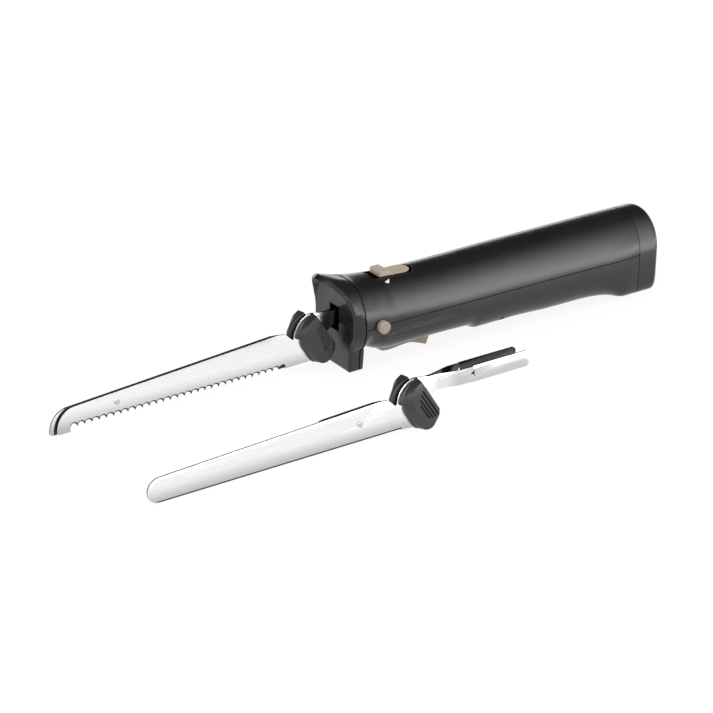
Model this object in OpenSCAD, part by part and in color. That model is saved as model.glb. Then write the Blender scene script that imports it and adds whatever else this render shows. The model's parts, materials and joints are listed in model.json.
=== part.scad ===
// Cordless electric carving knife, with its second pair of blades standing beside it.
// X runs from the blades' tips to the rear of the handle and Z is up from the table.
// The panel with the blade slot is the plane X = 0, and the near side is -Y.

/* [Handle] */
// Half-width of the handle where it is widest
handle_half_w = 25; // [24.5:0.5:26]
// Height of the shells' parting seam above the table
seam_z = 32; // [31.5:0.5:33]
// Height of the handle's top above the seam
handle_rise = 26; // [25.5:0.5:27.5]
// Wall of the shells, the guard and the rear cap
wall = 2.2; // [1.8:0.1:2.4]
// Depth of the guard from its panel to the shells
guard_depth = 8; // [7.5:0.5:9]
// Empty length behind the battery, up to the rear cap
rear_bay = 23.6; // [22:0.2:30]
// Length of the rear cap
cap_len = 19; // [18:0.5:24]
// Rounding of the rear cap's end
cap_round = 5; // [3:0.5:6]

/* [Guard] */
// Half-width of the guard's rim
guard_half_w = 26.2; // [25.8:0.1:27]
// Height of the hood's peak above the table
guard_h = 68.8; // [67:0.2:71]
// Reach of the hood's outer edge ahead of the panel
hood_len = 12; // [9:0.5:14]
// Half-width of the blade slot
slot_half_w = 5.6; // [5.4:0.1:6]
// Thickness of the panel with the blade slot
panel_t = 2.6; // [2:0.1:3]
// Height of the straight foot
foot_h = 16; // [15:0.5:17]
// Depth of the strip of bottom shell behind the foot
foot_strip = 3; // [2:0.5:4]

/* [Controls] */
// Start of the slider's slot behind the panel
slider_slot_x = 27.5; // [26.5:0.5:28.5]
// Length of the slider's slot
slider_slot_len = 33; // [32.5:0.5:34]
// Half-width of the safety slider
slider_half_w = 6.5; // [6:0.1:7]
// Travel of the safety slider towards the blades
slider_travel = 4.2; // [3.5:0.1:4.4]
// Height of the slider's thumb block above its low part
slider_block_h = 3.4; // [2.5:0.1:4]
// Place of the release buttons behind the panel
button_x = 22; // [21.5:0.5:22.5]
// Radius of a release button
button_r = 4.4; // [4:0.1:4.6]
// How far a release button stands out of the handle
button_proud = 3.8; // [3.2:0.1:4.4]
// Travel of a release button
button_travel = 2.2; // [1.8:0.1:2.4]
// Place of the trigger's pin behind the panel
trigger_x = 31; // [30.5:0.5:31.5]
// Height of the trigger's pin above the table
trigger_z = 12; // [11.8:0.1:12.4]
// Half-width of the trigger
trigger_half_w = 9; // [8.5:0.1:9.2]
// Length of the trigger behind its pin
trigger_len = 41; // [40:0.5:42]
// Depth of the trigger's tail below its pin
trigger_drop = 11; // [10.5:0.1:11.4]
// Radius of the trigger's pin
trigger_pin_r = 1.5; // [1.2:0.1:1.6]

/* [Blades] */
// Reach of the left blade ahead of the panel
blade_len = 208.9; // [190:0.1:225]
// Thickness of a blade
blade_t = 1; // [0.8:0.05:1]
// Gap between the two blades of a pair
blade_gap = 0.3; // [0.25:0.05:0.4]
// Height of the teeth's tips above the table
edge_z = 7.8; // [7.2:0.1:8.4]
// Height of the spine above the table where the tip begins
tip_spine_z = 22.2; // [21:0.2:24]
// Length of the rounded tip
tip_len = 13.7; // [12:0.1:16]
// Distance from one tooth to the next
tooth_pitch = 5.16; // [5:0.02:6]
// Radius of the scallop between two teeth
scallop_r = 2.45; // [2.1:0.05:2.45]
// Radius of the rivet that joins a pair
rivet_r = 1.1; // [0.9:0.1:1.2]

/* [Grips and tangs] */
// Length of a blade grip
grip_len = 24.5; // [23.5:0.1:25.5]
// Height of a blade grip
grip_h = 35.6; // [35:0.1:36.5]
// Distance from the panel forward to a grip's rear
grip_rear = 4.7; // [4.5:0.1:5.5]
// Outer face of a grip, from the centre plane
grip_out = 8.5; // [7.5:0.1:9.5]
// Thickness of a grip's front flange
flange_t = 2.2; // [1.6:0.1:2.8]
// Centre of a tang from the centre plane
tang_y = 4.6; // [4.5:0.1:4.7]
// Start of the tang's plate behind the panel
tang_x = 22.3; // [21.8:0.1:23]
// Length of the tang's plate
tang_len = 47.2; // [45:0.1:50]
// Lower edge of the tang above the table
tang_z = 30.1; // [29.9:0.1:30.3]
// Height of the tang's plate
tang_h = 11.3; // [11:0.1:11.5]

/* [Drive] */
// Stroke of each blade
stroke = 4.4; // [3.6:0.1:4.4]
// Place of the worm wheel's axle behind the panel
wheel_x = 92; // [91.5:0.5:93]
// Height of the worm wheel's axle above the table
wheel_z = 36; // [35.5:0.5:36.5]
// Outer radius of the worm wheel
wheel_r = 9.25; // [9:0.05:9.3]
// Number of teeth on the worm wheel
wheel_teeth = 21; // [18:1:24]
// Half-width of the worm wheel
wheel_half_w = 4; // [3.6:0.1:4]
// Radius of an eccentric disc
disc_r = 5; // [4.9:0.05:5.1]
// Radius of the wheel's axle
axle_r = 2; // [1.8:0.05:2.05]
// Outer radius of the worm
worm_r = 3.45; // [3.3:0.05:3.5]
// Length of the worm
worm_len = 20; // [18:0.5:20.5]
// Number of starts on the worm
worm_starts = 3; // [2:1:3]
// Thickness of the drive frame's walls
frame_t = 2.2; // [2:0.1:2.3]

/* [Motor and battery] */
// Radius of the motor's can
motor_r = 13.85; // [13.4:0.05:14]
// Length of the motor's can
motor_len = 38.8; // [36:0.2:42]
// Radius of the motor's shaft
shaft_r = 1.5; // [1.3:0.05:1.6]
// Length of a battery cell
cell_len = 65; // [60:1:70]
// Height of the cells' axes above the table
cell_z = 33; // [32.5:0.5:33.5]
// Radius of the charging socket's bore
socket_bore_r = 2.75; // [2.5:0.05:3]
// Depth of the charging socket's bore
socket_depth = 10; // [9:0.5:11]
// Height of the charging socket above the table
socket_z = 20; // [18:0.5:23]

/* [Spare pair] */
// How far the spare pair stands behind the mounted one
spare_dx = 9.2; // [5:0.1:15]
// Distance of the spare pair from the knife's centre plane
spare_dy = 106.9; // [80:0.5:120]
// Reach of the long spare blade, measured as on the mounted one
spare_len = 212.4; // [200:0.2:220]
// Reach of the short spare blade, measured alike
spare_short_len = 92; // [85:0.5:100]
// Height of the spare blades' lower edge above their grips' lowest point
spare_edge = 1.5; // [1:0.1:2]

/* [Hidden] */
$fn = 48;

// Overrun of every cut
over = 1;
// Clearance between pieces that are fixed to each other
fit = 0.03;
// Running clearance of a shaft or pin in its hole
run = 0.05;
// Clearance between faces that slide past each other
slide = 0.3;
// Clearance round a control in its opening
ctl_gap = 0.5;
// Clearance between moving pieces inside
move_gap = 0.8;

// Cross-section of the handle at its stations: place along the shells, half-width,
// rise and its exponent, drop and its exponent
station_shares = [
  [0, 1.072, 1.155, 2.5, 0.844, 1.9],
  [0.0125, 1.056, 1.12, 2.5, 0.6875, 2],
  [0.025, 1.04, 1.1, 2.5, 0.5625, 2],
  [0.05, 1.016, 1.076, 2.4, 0.656, 2.4],
  [0.079, 1, 1.058, 2.3, 0.719, 2.8],
  [0.1125, 0.984, 1.043, 2.15, 0.734, 3],
  [0.208, 0.976, 1.004, 2.15, 0.734, 3],
  [0.383, 0.976, 1.012, 2.17, 0.759, 3],
  [0.417, 0.976, 1.021, 2.18, 0.859, 3.1],
  [0.55, 0.983, 1.037, 2.19, 0.852, 3.1],
  [0.68, 0.99, 1.05, 2.17, 0.889, 3.1],
  [0.78, 0.995, 1.061, 2.14, 0.894, 3.1],
  [0.83, 1.004, 1.066, 2.12, 0.883, 3.4],
  [0.87, 1.016, 1.07, 2.11, 0.893, 3.8],
  [0.91, 1.024, 1.074, 2.1, 0.929, 4.6],
  [0.955, 1.016, 1.077, 2.08, 1, 7],
  [1, 0.98, 1.08, 2.07, 1, 8]
];
arch_steps = 24;

// Rim of the guard from the foot's lower corner up to the hood's peak. Outer edge: across, up
// and forward. Front edge: the same. Inner edge on the panel: across and up.
rim_shares = [
  [0.641, 0, -0.083, 0.565, 0.022, 0, 0.54, 0.03],
  [0.679, 0.015, -0.167, 0.603, 0.03, 0, 0.58, 0.04],
  [0.718, 0.131, -0.167, 0.641, 0.131, 0, 0.615, 0.131],
  [0.744, 0.233, -0.167, 0.668, 0.233, 0, 0.64, 0.233],
  [0.821, 0.305, -0.133, 0.737, 0.31, 0, 0.71, 0.315],
  [0.947, 0.392, -0.1, 0.855, 0.395, 0, 0.82, 0.395],
  [0.972, 0.494, -0.125, 0.874, 0.494, 0, 0.84, 0.494],
  [0.996, 0.581, -0.108, 0.889, 0.581, 0, 0.85, 0.581],
  [0.996, 0.625, -0.083, 0.9, 0.625, 0.042, 0.85, 0.62],
  [0.985, 0.669, -0.025, 0.889, 0.667, 0.1, 0.835, 0.66],
  [0.947, 0.756, 0.125, 0.828, 0.75, 0.258, 0.76, 0.74],
  [0.9, 0.799, 0.217, 0.786, 0.792, 0.358, 0.71, 0.78],
  [0.821, 0.843, 0.292, 0.71, 0.835, 0.475, 0.63, 0.82],
  [0.679, 0.887, 0.375, 0.573, 0.878, 0.642, 0.49, 0.86],
  [0.462, 0.932, 0.567, 0.366, 0.922, 0.875, 0.3, 0.9],
  [0.237, 0.975, 0.833, 0.17, 0.955, 1.15, 0.14, 0.93],
  [0, 1, 1, 0, 0.968, 1.275, 0, 0.94]
];
// Rows of the rim that belong to the straight foot
foot_rows = 4;
// Wall round the guard's void
guard_wall = 3.2;
// Where the rim's other rows meet the shells, as angles round the section
seam_angles = [-25, -12, 0, 12, 18, 24, 40, 50, 62, 72, 79, 85, 90];
// Blade slot below and above the tang
slot_below = 4.1;
slot_above = 2.9;

// Where the neck's top meets the steel over the grip
root_top_share = [0.135, 1];

// Grip outline: inner contour forward and up, outer contour forward and up
grip_shares = [
  [0, 0.351, 0, 0.351], [0.563, 1, 0.576, 0.983], [0.64, 0.962, 0.62, 0.965],
  [0.73, 0.952, 0.68, 0.938], [0.896, 0.878, 0.751, 0.902], [1.027, 0.77, 0.815, 0.825],
  [1.093, 0.666, 0.842, 0.75], [1.115, 0.56, 0.845, 0.68], [0.975, 0.53, 0.838, 0.62],
  [0.943, 0.36, 0.78, 0.486], [0.796, 0.191, 0.686, 0.295],
  [0.624, 0.02, 0.539, 0.065], [0.388, 0, 0.388, 0], [0.212, 0.022, 0.212, 0.022],
  [0.09, 0.129, 0.09, 0.129], [0, 0.239, 0, 0.239]
];
// Share of the outer contour in the step from the flange to the body
grip_step_share = 0.27;
grip_edge_share = 0.85;
grip_edge = 0.8;
groove_w = 0.9;
groove_depth = 0.5;
// Grooves on a spare grip: lower end and upper end, forward and up
groove_shares = [
  [0.057, 0.267, 0.543, 0.784], [0.135, 0.233, 0.588, 0.716],
  [0.224, 0.222, 0.616, 0.626], [0.327, 0.228, 0.604, 0.511]
];
// Steel under and ahead of the grip, below and above the tang's neck: forward and up
root_low_shares = [[1.4, 0], [0.624, 0.014], [0.318, 0.039], [0.114, 0.244], [0.114, 0.511]];
// The steel of a left blade reaches past its grip's flange
left_root_shares = [
  [0.6, 0.985], [0.74, 0.972], [0.925, 0.9], [1.065, 0.79], [1.135, 0.675], [1.16, 0.565],
  [1.19, 0.535], [1.433, 0.697], [1.686, 0.711]
];
// That of a right blade stays behind its grip's flange
right_root_shares = [
  [0.4, 0.965], [0.56, 0.95], [0.74, 0.88], [0.88, 0.77], [0.945, 0.65], [0.965, 0.555],
  [0.99, 0.525], [1.433, 0.697], [1.686, 0.711]
];

// Blade tips and edges
nose_z = 6.5;
toe_z = 5.2;
toe_front = 1.2;
toe_len = 9.7;
first_scallop = 12;
edge_plain = 42;
tip_steps = 10;
spare_nose = 9;
spare_tip_drop = 6.6;
rivet_back = 42.9;
rivet_x = rivet_back - blade_len;
rivet_z = 17.1;
spare_rivet_back = 31.4;
spare_rivet_x = spare_rivet_back - spare_short_len;
spare_rivet_z = 21.4;
rivet_head_r = 1.9;
rivet_head_t = 0.4;
rivet_play = 0.15;

// Neck and tang
neck_inset = 0.4;
neck_x0 = -4;
neck_bend0 = -2;
neck_bend1 = 14;
tang_round = 3;
tang_chamfer = 1.6;
tang_hole_x = 1.2;
tang_hole_l = 3;
tang_hole_h = 5;
tang_hole_z = 6.1;

// Blade faces, from the centre plane
blade_in = blade_gap / 2;
blade_out = blade_in + blade_t;
grip_in = blade_out + fit;
tang_in = tang_y - blade_t / 2;
tang_out = tang_y + blade_t / 2;
neck_z0 = tang_z + neck_inset;
neck_z1 = tang_z + tang_h - neck_inset;

// Carriers
carrier_t = 3.8;
lip_t = 1.4;
lip_over = 0.2;
carrier_ahead = 8.3;
carrier_x0 = tang_x - carrier_ahead;
carrier_in = tang_out + slide;
carrier_out = carrier_in + carrier_t;
lip_in = tang_in - lip_over;
carrier_z0 = tang_z - slide - lip_t;
carrier_z1 = tang_z + tang_h + slide + lip_t;
yoke_play = 0.55;
yoke_wall = 4.05;
yoke_half_h = 10.5;
yoke_half_l = disc_r + yoke_play + yoke_wall;
yoke_x = wheel_x + stroke / 2;
yoke_front = wheel_x - stroke / 2 - yoke_half_l;

// Release buttons
button_w_share = 1.011;
button_skin = handle_half_w * button_w_share;
button_face = button_skin + button_proud;
stem_r = 1.5;
stem_gap = 0.7;
stem_end = tang_out + stem_gap + button_travel;
collar_r = 5.8;
collar_t = 1.6;
collar_gap = 1.2;
collar_out = button_skin - wall - collar_gap;
collar_in = collar_out - collar_t;

// Drive frame
frame_set = 2;
frame_x0 = carrier_x0 + frame_set;
frame_low = 24;
frame_y0 = carrier_out + slide;
frame_y1 = frame_y0 + frame_t;
floor_t = 2.5;
floor_z1 = carrier_z0 - slide;
floor_z0 = floor_z1 - floor_t;
cover_z0 = carrier_z1 + slide;
cover_z1 = cover_z0 + frame_t;
cover_ahead = 8;
cover_behind = 6.5;
cover_x0 = frame_x0 + cover_ahead;
cover_x1 = tang_x + tang_len + cover_behind;
worm_mesh = 0.25;
worm_z = wheel_z - wheel_r - worm_r - worm_mesh;
block_l = 4;
block_drop = 6;
block_x1 = yoke_front - move_gap;
block_x0 = block_x1 - block_l;
plate_x0 = yoke_x + yoke_half_l + move_gap;
plate_x1 = plate_x0 + frame_t;
plate_low = 10.9;
ear_z = 29.6;
ear_t = 2;
ear_half_l = 3.5;
ear_out = 3.4;
post_r = 3;
frame_screw_y = 16;
frame_screw_ahead = 26;
frame_screw_behind = 8;
frame_screw_x = [wheel_x - frame_screw_ahead, wheel_x + frame_screw_behind];
cover_screw_in = 4;
cover_screw_x = [cover_x0 + cover_screw_in, cover_x1 - cover_screw_in];
bush_t = 2;
bush_flange_t = 0.7;
bush_flange_r = 5.2;
axle_half = frame_y1 + bush_flange_t;
thread_h = 1;
thread_mid_share = 0.5;
thread_crest_share = 1.2;
// Tooth of the worm wheel: place in its pitch and height
tooth_shares = [[-0.3, 0], [-0.14, 1], [0.14, 1], [0.3, 0]];
worm_rings = 40;
worm_sides = 24;
window_half_h = disc_r + stroke / 2 + yoke_play;
stem_slot_gap = 0.4;

// Motor
motor_x0 = plate_x1 + fit;
motor_x1 = motor_x0 + motor_len;
can_t = 1.2;
magnet_t = 2.1;
nose_r = 5;
nose_l = 1.6;
end_cap_t = 3;
end_cap_x1 = motor_x1 + fit + end_cap_t;
terminal_w = 3;
terminal_t = 0.5;
terminal_l = 3.6;
terminal_y = 7;
armature_x0 = 8;
armature_x1 = 10;
commutator_r = 4;
commutator_l = 5;
motor_screw_z = 9;
motor_head_t = 1.4;
rotor_poles = 5;
pole_slot = 1.6;
pole_depth = 4;

// Battery, board and socket
battery_gap = 5.5;
holder_t = 2.2;
holder_low = 21.5;
holder_bed = 30;
holder_top = 40;
holder_side_gap = 3.4;
holder_half_w = handle_half_w - wall - holder_side_gap;
tab_t = 0.3;
tab_half_h = cell_z - holder_bed - fit;
cell_gap = 0.4;
cell_side_gap = 0.6;
cell_r = (holder_half_w - cell_gap - cell_side_gap) / 2;
cell_y = cell_r + cell_gap;
holder_x0 = end_cap_x1 + battery_gap;
cell_x0 = holder_x0 + holder_t + fit + tab_t + fit;
cell_x1 = cell_x0 + cell_len;
holder_x1 = cell_x1 + fit + tab_t + fit + holder_t;
cap_x = holder_x1 + rear_bay;
body_end = cap_x + cap_len;
shell_len = cap_x - guard_depth;
board_set = 5.8;
board_x0 = holder_x0 + board_set;
board_l = 55;
board_half_w = 12;
board_z = 46;
board_t = 1.6;
board_post_r = 2;
board_post_in = 4;
board_post_y = 10;
chip_l = 9;
chip_t = 1.8;
chip_shares = [[0.2, -0.6], [0.45, -0.2], [0.68, -0.5]];
socket_r = 4.5;
socket_len = 13.8;
socket_pin_r = 0.9;
socket_set = 0.2;
socket_x0 = body_end - socket_set - socket_len;

// Screws
screw_r = 1.3;
head_r = 2.3;
head_t = 2.2;
head_gap = 0.2;
boss_r = 3.4;
shell_screw_z = 16;
shell_screw_top = 44;
boss_clear = 0.75;
front_screw_back = 6.5;
front_screw_x = trigger_x + front_screw_back;
front_screw_y = 16;
mid_screw_back = 18;
rear_screw_back = 12;
side_screw_y = motor_r + boss_clear + boss_r;
cap_screw_y = 14;
cap_screw_z = 40;
cap_screw_seat = 4;
cap_screw_grip = 6;
cap_boss_l = 7.8;
cap_boss_half_h = 3.2;
cap_boss_in = 3;
small_screw_r = 0.8;
small_head_r = 1.6;
small_head_t = 1.2;
screw_in = 6;

shell_screw_at = [
  [front_screw_x, front_screw_y],
  [motor_x1 - mid_screw_back, side_screw_y],
  [cap_x - rear_screw_back, side_screw_y]
];
cover_screw_y = (frame_y0 + frame_y1) / 2;

// Upright ribs under the battery and the motor
rib_t = 2;
rib_in = 10;
rib_half_span = 16;
motor_rib_x = motor_x0 + motor_len / 2;
cap_steps = 4;

// Safety slider
slider_seat_rise = 20.8;
slider_base_t = 1.5;
slider_base_half_w = 8.6;
slider_low_share = 1.023;
slider_fall = 0.4;
slider_block_l = 8;
slider_ramp = 4.3;
slider_edge = 1;
slider_front_r = 2.5;
slot_front_r = 1.5;
slider_x0 = slider_slot_x + slide + slider_travel;
slider_x1 = slider_slot_x + slider_slot_len - 2 * ctl_gap;
slot_hw = slider_half_w + ctl_gap;
seat_z = seam_z + slider_seat_rise;
slider_low_z = seam_z + handle_rise * slider_low_share;
lock_back = 14;
lock_len = 6;
lock_half_w = 13.8;
lock_t = 1.4;
lock_top = 49.5;
lock_neck_half_w = 8;
lock_toe_z = 15.2;
lock_toe_in = 7;
lock_x0 = slider_x0 + lock_back;
detent_len = 16;
detent_x0 = lock_x0;
detent_x1 = detent_x0 + detent_len;
detent_rise = 2.2;
detent_t = 0.4;
detent_foot = 2;
detent_half_w = 3;

// Trigger
trigger_gap = 0.6;
hub_r = 3;
lug_t = 2.5;
lug_half_l = 4;
lug_top = 15.5;
pin_half = trigger_half_w + trigger_gap + lug_t;
trigger_open_front = 3.6;
trigger_open_rear = 1.2;
finger_shares = [
  [-0.056, -0.373], [0.066, -0.627], [0.239, -0.664], [0.439, -0.591], [0.629, -0.582],
  [0.788, -0.773], [0.946, -1], [1, -0.482], [1, 0]
];
rib_x = 11;
rib_half_l = 1.1;
rib_half_w = 2;
rib_gap = 0.25;
switch_back = 4;
switch_len = 12.8;
switch_half_w = 2.9;
switch_h = 6.5;
plunger_r = 0.9;
plunger_out = 1.5;
plunger_in = 3;
plunger_run = 1.6;
plunger_x = trigger_x + rib_x;
switch_z1 = floor_z0 - fit;
switch_z0 = switch_z1 - switch_h;
plunger_z0 = switch_z0 - plunger_out;
trigger_spring_x = 31;
coil_steps = 10;
coil_sides = 5;
spring_wire = 0.35;
spring_r = 2.4;
spring_turns = 6;
button_spring_r = 2.6;
button_spring_turns = 5;
wire_r = 0.7;
wire_bend = 2.5;
wire_side_gap = 1.6;
wire_side_y = frame_y1 + wire_side_gap;
switch_x0 = plunger_x - switch_back;
switch_x1 = switch_x0 + switch_len;
switch_wire_x = switch_x1 + terminal_l + fit + wire_r;
switch_mid = (switch_z0 + switch_z1) / 2;

// Spare pair
spare_at = [spare_dx, -spare_dy, -edge_z];

function signed_pow(v, e) = sign(v) * pow(abs(v), e);

// Points of a section: width, rise and its exponent, drop and its exponent, from angle a0 to a1
function section(w, rise, nt, drop, nb, a0, a1, steps) = [
  for (k = [0:steps])
    let (a = a0 + (a1 - a0) * k / steps, up = sin(a) >= 0)
    [w * signed_pow(cos(a), 2 / (up ? nt : nb)),
     up ? rise * pow(sin(a), 2 / nt) : -drop * pow(-sin(a), 2 / nb)]
];

// A whole section as a closed loop
function ring_section(w, rise, nt, drop, nb) =
  section(w, rise, nt, drop, nb, 0, 360 - 180 / arch_steps, 2 * arch_steps - 1);

// The handle's outline at a station, in Y and Z from the seam, drawn in by inset
function station_ring(i, inset) =
  let (s = station_shares[i])
  ring_section(
    handle_half_w * s[1] - inset, handle_rise * s[2] - inset, s[3], seam_z * s[4] - inset, s[5]);

function station_x(i) = guard_depth + shell_len * station_shares[i][0];
last_station = len(station_shares) - 1;

// Half a shell: side 1 is the top, -1 the bottom; inset is the wall it leaves out
function half_rings(side, inset, skirt) = [
  for (i = [0:last_station])
    let (
      s = station_shares[i],
      x = station_x(i) + (inset == 0 ? 0 : i == 0 ? -over : i == last_station ? over : 0),
      w = handle_half_w * s[1] - inset,
      h = (side > 0 ? handle_rise * s[2] : seam_z * s[4]) - inset,
      n = side > 0 ? s[3] : s[5],
      arc = section(w, h, n, h, n, 0, 180, arch_steps)
    )
    concat(
      skirt == 0 ? [] : [[x, w, -skirt]],
      [for (p = arc) [x, p[0], p[1]]],
      skirt == 0 ? [] : [[x, -w, -skirt]]
    )
];

function flat(lists) = [for (l = lists) for (p = l) p];

// Skin over rings that all have n points, front cap first
function ring_faces(rings, n) = concat(
  [[for (j = [0:n - 1]) j]],
  [for (i = [0:rings - 2]) for (j = [0:n - 1]) [i * n + (j + 1) % n, i * n + j, (i + 1) * n + j]],
  [for (i = [0:rings - 2]) for (j = [0:n - 1])
    [i * n + (j + 1) % n, (i + 1) * n + j, (i + 1) * n + (j + 1) % n]],
  [[for (j = [n - 1:-1:0]) (rings - 1) * n + j]]
);

module loft(rings) {
  polyhedron(points = flat(rings), faces = ring_faces(len(rings), len(rings[0])), convexity = 6);
}

module half_shell(side, inset, skirt) {
  translate([0, 0, seam_z])
    mirror([0, 0, side > 0 ? 0 : 1])
      loft(half_rings(side, inset, skirt));
}

// Building blocks along the axes
module block(x0, x1, y0, y1, z0, z1) {
  translate([x0, y0, z0]) cube([x1 - x0, y1 - y0, z1 - z0]);
}

module rod_x(y, z, r, x0, x1) {
  translate([x0, y, z]) rotate([0, 90, 0]) cylinder(r = r, h = x1 - x0);
}

module rod_y(x, z, r, y0, y1) {
  translate([x, y1, z]) rotate([90, 0, 0]) cylinder(r = r, h = y1 - y0);
}

module rod_z(x, y, r, z0, z1) {
  translate([x, y, z0]) cylinder(r = r, h = z1 - z0);
}

// Side outline, drawn as X and Z, from y0 to y1
module side_plate(y0, y1) {
  translate([0, y1, 0]) rotate([90, 0, 0]) linear_extrude(y1 - y0) children();
}

// Cross outline, drawn as Y and Z, from x0 to x1
module cross_plate(x0, x1) {
  translate([x0, 0, 0]) rotate([90, 0, 90]) linear_extrude(x1 - x0) children();
}

module both_sides() {
  children();
  mirror([0, 1, 0]) children();
}

// The right half of a drive is the left one mirrored, at the far end of its stroke
module right_hand() {
  translate([-stroke, 0, 0]) mirror([0, 1, 0]) children();
}

// Coil round Z, from z0 to z1
module coil(r, wire, z0, z1, turns) {
  rise = z1 - z0 - 2 * wire;
  rings = [
    for (i = [0:turns * coil_steps])
      let (a = 360 * i / coil_steps, z = z0 + wire + rise * i / (turns * coil_steps))
      [for (j = [0:coil_sides - 1])
        let (b = -360 * j / coil_sides, q = r + wire * cos(b))
        [q * cos(a), q * sin(a), z + wire * sin(b)]]
  ];
  loft(rings);
}

// Tube along a path of points, with balls at its corners
module wire_run(path) {
  for (i = [0:len(path) - 2]) {
    d = path[i + 1] - path[i];
    l = norm(d);
    translate(path[i])
      rotate([0, acos(d[2] / l), atan2(d[1], d[0])])
        cylinder(r = wire_r, h = l, $fn = 16);
    if (i > 0) translate(path[i]) sphere(r = wire_r, $fn = 16);
  }
}

// Housing

function rim_point(row, c) = [row[c] * guard_half_w, row[c + 1] * guard_h];

// One side of a rim ring from the foot's corner to the peak; kind 0 inner, 1 front, 2 outer, 3 seam
function rim_side(kind) = [
  for (k = [0:len(rim_shares) - 1])
    let (
      r = rim_shares[k],
      p = kind == 0 ? rim_point(r, 6)
        : kind == 1 ? rim_point(r, 3)
        : kind == 2 || k < foot_rows ? rim_point(r, 0)
        : seam_point(seam_angles[k - foot_rows]),
      x = kind == 0 ? 0
        : kind == 1 ? -r[5] * hood_len
        : kind == 2 ? -r[2] * hood_len
        : guard_depth
    )
    [x, p[0], p[1]]
];

function seam_point(a) =
  let (
    s = station_shares[0],
    p = section(handle_half_w * s[1], handle_rise * s[2], s[3], seam_z * s[4], s[5], a, a, 1)[0]
  )
  [p[0], p[1] + seam_z];

function rim_ring(kind) =
  let (side = rim_side(kind), n = len(side))
  concat(side, [for (k = [n - 2:-1:0]) [side[k][0], -side[k][1], side[k][2]]]);

module foot_outline() {
  half = [for (k = [0:foot_rows - 1]) rim_point(rim_shares[k], 0)];
  polygon(concat(half, [for (k = [foot_rows - 1:-1:0]) [-half[k][0], half[k][1]]]));
}

module guard_void() {
  cross_plate(panel_t, guard_depth + over)
    translate([0, seam_z]) polygon(station_ring(0, guard_wall));
}

module front_guard() {
  color([0.13, 0.13, 0.14])
    difference() {
      loft([rim_ring(0), rim_ring(1), rim_ring(2), rim_ring(3)]);
      guard_void();
      block(-hood_len, panel_t + over, -slot_half_w, slot_half_w,
        tang_z - slot_below, tang_z + tang_h + slot_above);
    }
}

module at_shell_screws() {
  for (p = shell_screw_at) both_sides() translate([p[0], p[1], 0]) children();
}

module top_shell() {
  color([0.13, 0.13, 0.14])
    difference() {
      union() {
        difference() {
          half_shell(1, 0, 0);
          half_shell(1, wall, over);
        }
        intersection() {
          union() {
            at_shell_screws() rod_z(0, 0, boss_r, seam_z, seam_z + handle_rise);
            both_sides()
              block(cap_x - cap_boss_l, cap_x, cap_screw_y - cap_boss_in, handle_half_w,
                cap_screw_z - cap_boss_half_h, cap_screw_z + cap_boss_half_h);
            both_sides()
              for (x = [board_x0 + board_post_in, board_x0 + board_l - board_post_in])
                rod_z(x, board_post_y, board_post_r, board_z + board_t + fit, seam_z + handle_rise);
          }
          half_shell(1, 0, 0);
        }
      }
      at_shell_screws() rod_z(0, 0, screw_r + fit, seam_z - over, shell_screw_top + over);
      both_sides() rod_x(cap_screw_y, cap_screw_z, screw_r + fit, cap_x - screw_in - over, cap_x + over);
      translate([0, 0, seat_z]) linear_extrude(handle_rise) slider_opening();
      button_opening();
    }
}

module button_opening() {
  rod_y(button_x, seam_z, button_r + ctl_gap, -button_face, button_face);
}

module slider_opening() {
  x1 = slider_slot_x + slider_slot_len - slot_hw;
  translate([x1, 0]) circle(r = slot_hw);
  translate([slider_slot_x + slot_front_r, -slot_hw])
    square([x1 - slider_slot_x - slot_front_r, 2 * slot_hw]);
  translate([slider_slot_x, slot_front_r - slot_hw])
    square([2 * slot_front_r, 2 * (slot_hw - slot_front_r)]);
  for (s = [-1, 1])
    translate([slider_slot_x + slot_front_r, s * (slot_hw - slot_front_r)]) circle(r = slot_front_r);
}

module bottom_shell() {
  color([0.14, 0.14, 0.15])
    difference() {
      union() {
        difference() {
          union() {
            half_shell(-1, 0, 0);
            cross_plate(guard_depth, guard_depth + foot_strip)
              intersection() {
                foot_outline();
                translate([-guard_half_w, 0]) square([2 * guard_half_w, foot_h]);
              }
          }
          half_shell(-1, wall, over);
        }
        intersection() {
          shell_inner_posts();
          half_shell(-1, 0, 0);
        }
      }
      at_shell_screws() {
        rod_z(0, 0, head_r + head_gap, -over, shell_screw_z);
        rod_z(0, 0, screw_r + head_gap, 0, seam_z + over);
      }
      both_sides()
        for (x = frame_screw_x)
          rod_z(x, frame_screw_y, screw_r + fit, ear_z - screw_in - over, ear_z + over);
      rod_y(trigger_x, trigger_z, trigger_pin_r + fit, -pin_half - fit, pin_half + fit);
      block(trigger_x - trigger_open_front, trigger_x + trigger_len + trigger_open_rear,
        -trigger_half_w - trigger_gap, trigger_half_w + trigger_gap, -over, trigger_z);
      button_opening();
      rod_x(0, worm_z, motor_r + fit, motor_x0 - over, motor_x1 + end_cap_t + over);
    }
}

module shell_inner_posts() {
  at_shell_screws() rod_z(0, 0, boss_r, 0, seam_z);
  both_sides()
    for (x = frame_screw_x)
      rod_z(x, frame_screw_y, post_r, 0, ear_z - fit);
  both_sides()
    block(trigger_x - lug_half_l, trigger_x + lug_half_l,
      trigger_half_w + trigger_gap, trigger_half_w + trigger_gap + lug_t, 0, lug_top);
  for (x = [cell_x0 + rib_in, cell_x1 - rib_in])
    block(x - rib_t / 2, x + rib_t / 2, -rib_half_span, rib_half_span, 0, holder_low - fit);
  block(motor_rib_x, motor_rib_x + rib_t, -motor_r, motor_r, 0, worm_z);
}

// Rear cap: rings with a rounded end
function cap_ring(x, inset) = [for (p = station_ring(last_station, inset)) [x, p[0], seam_z + p[1]]];

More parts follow.
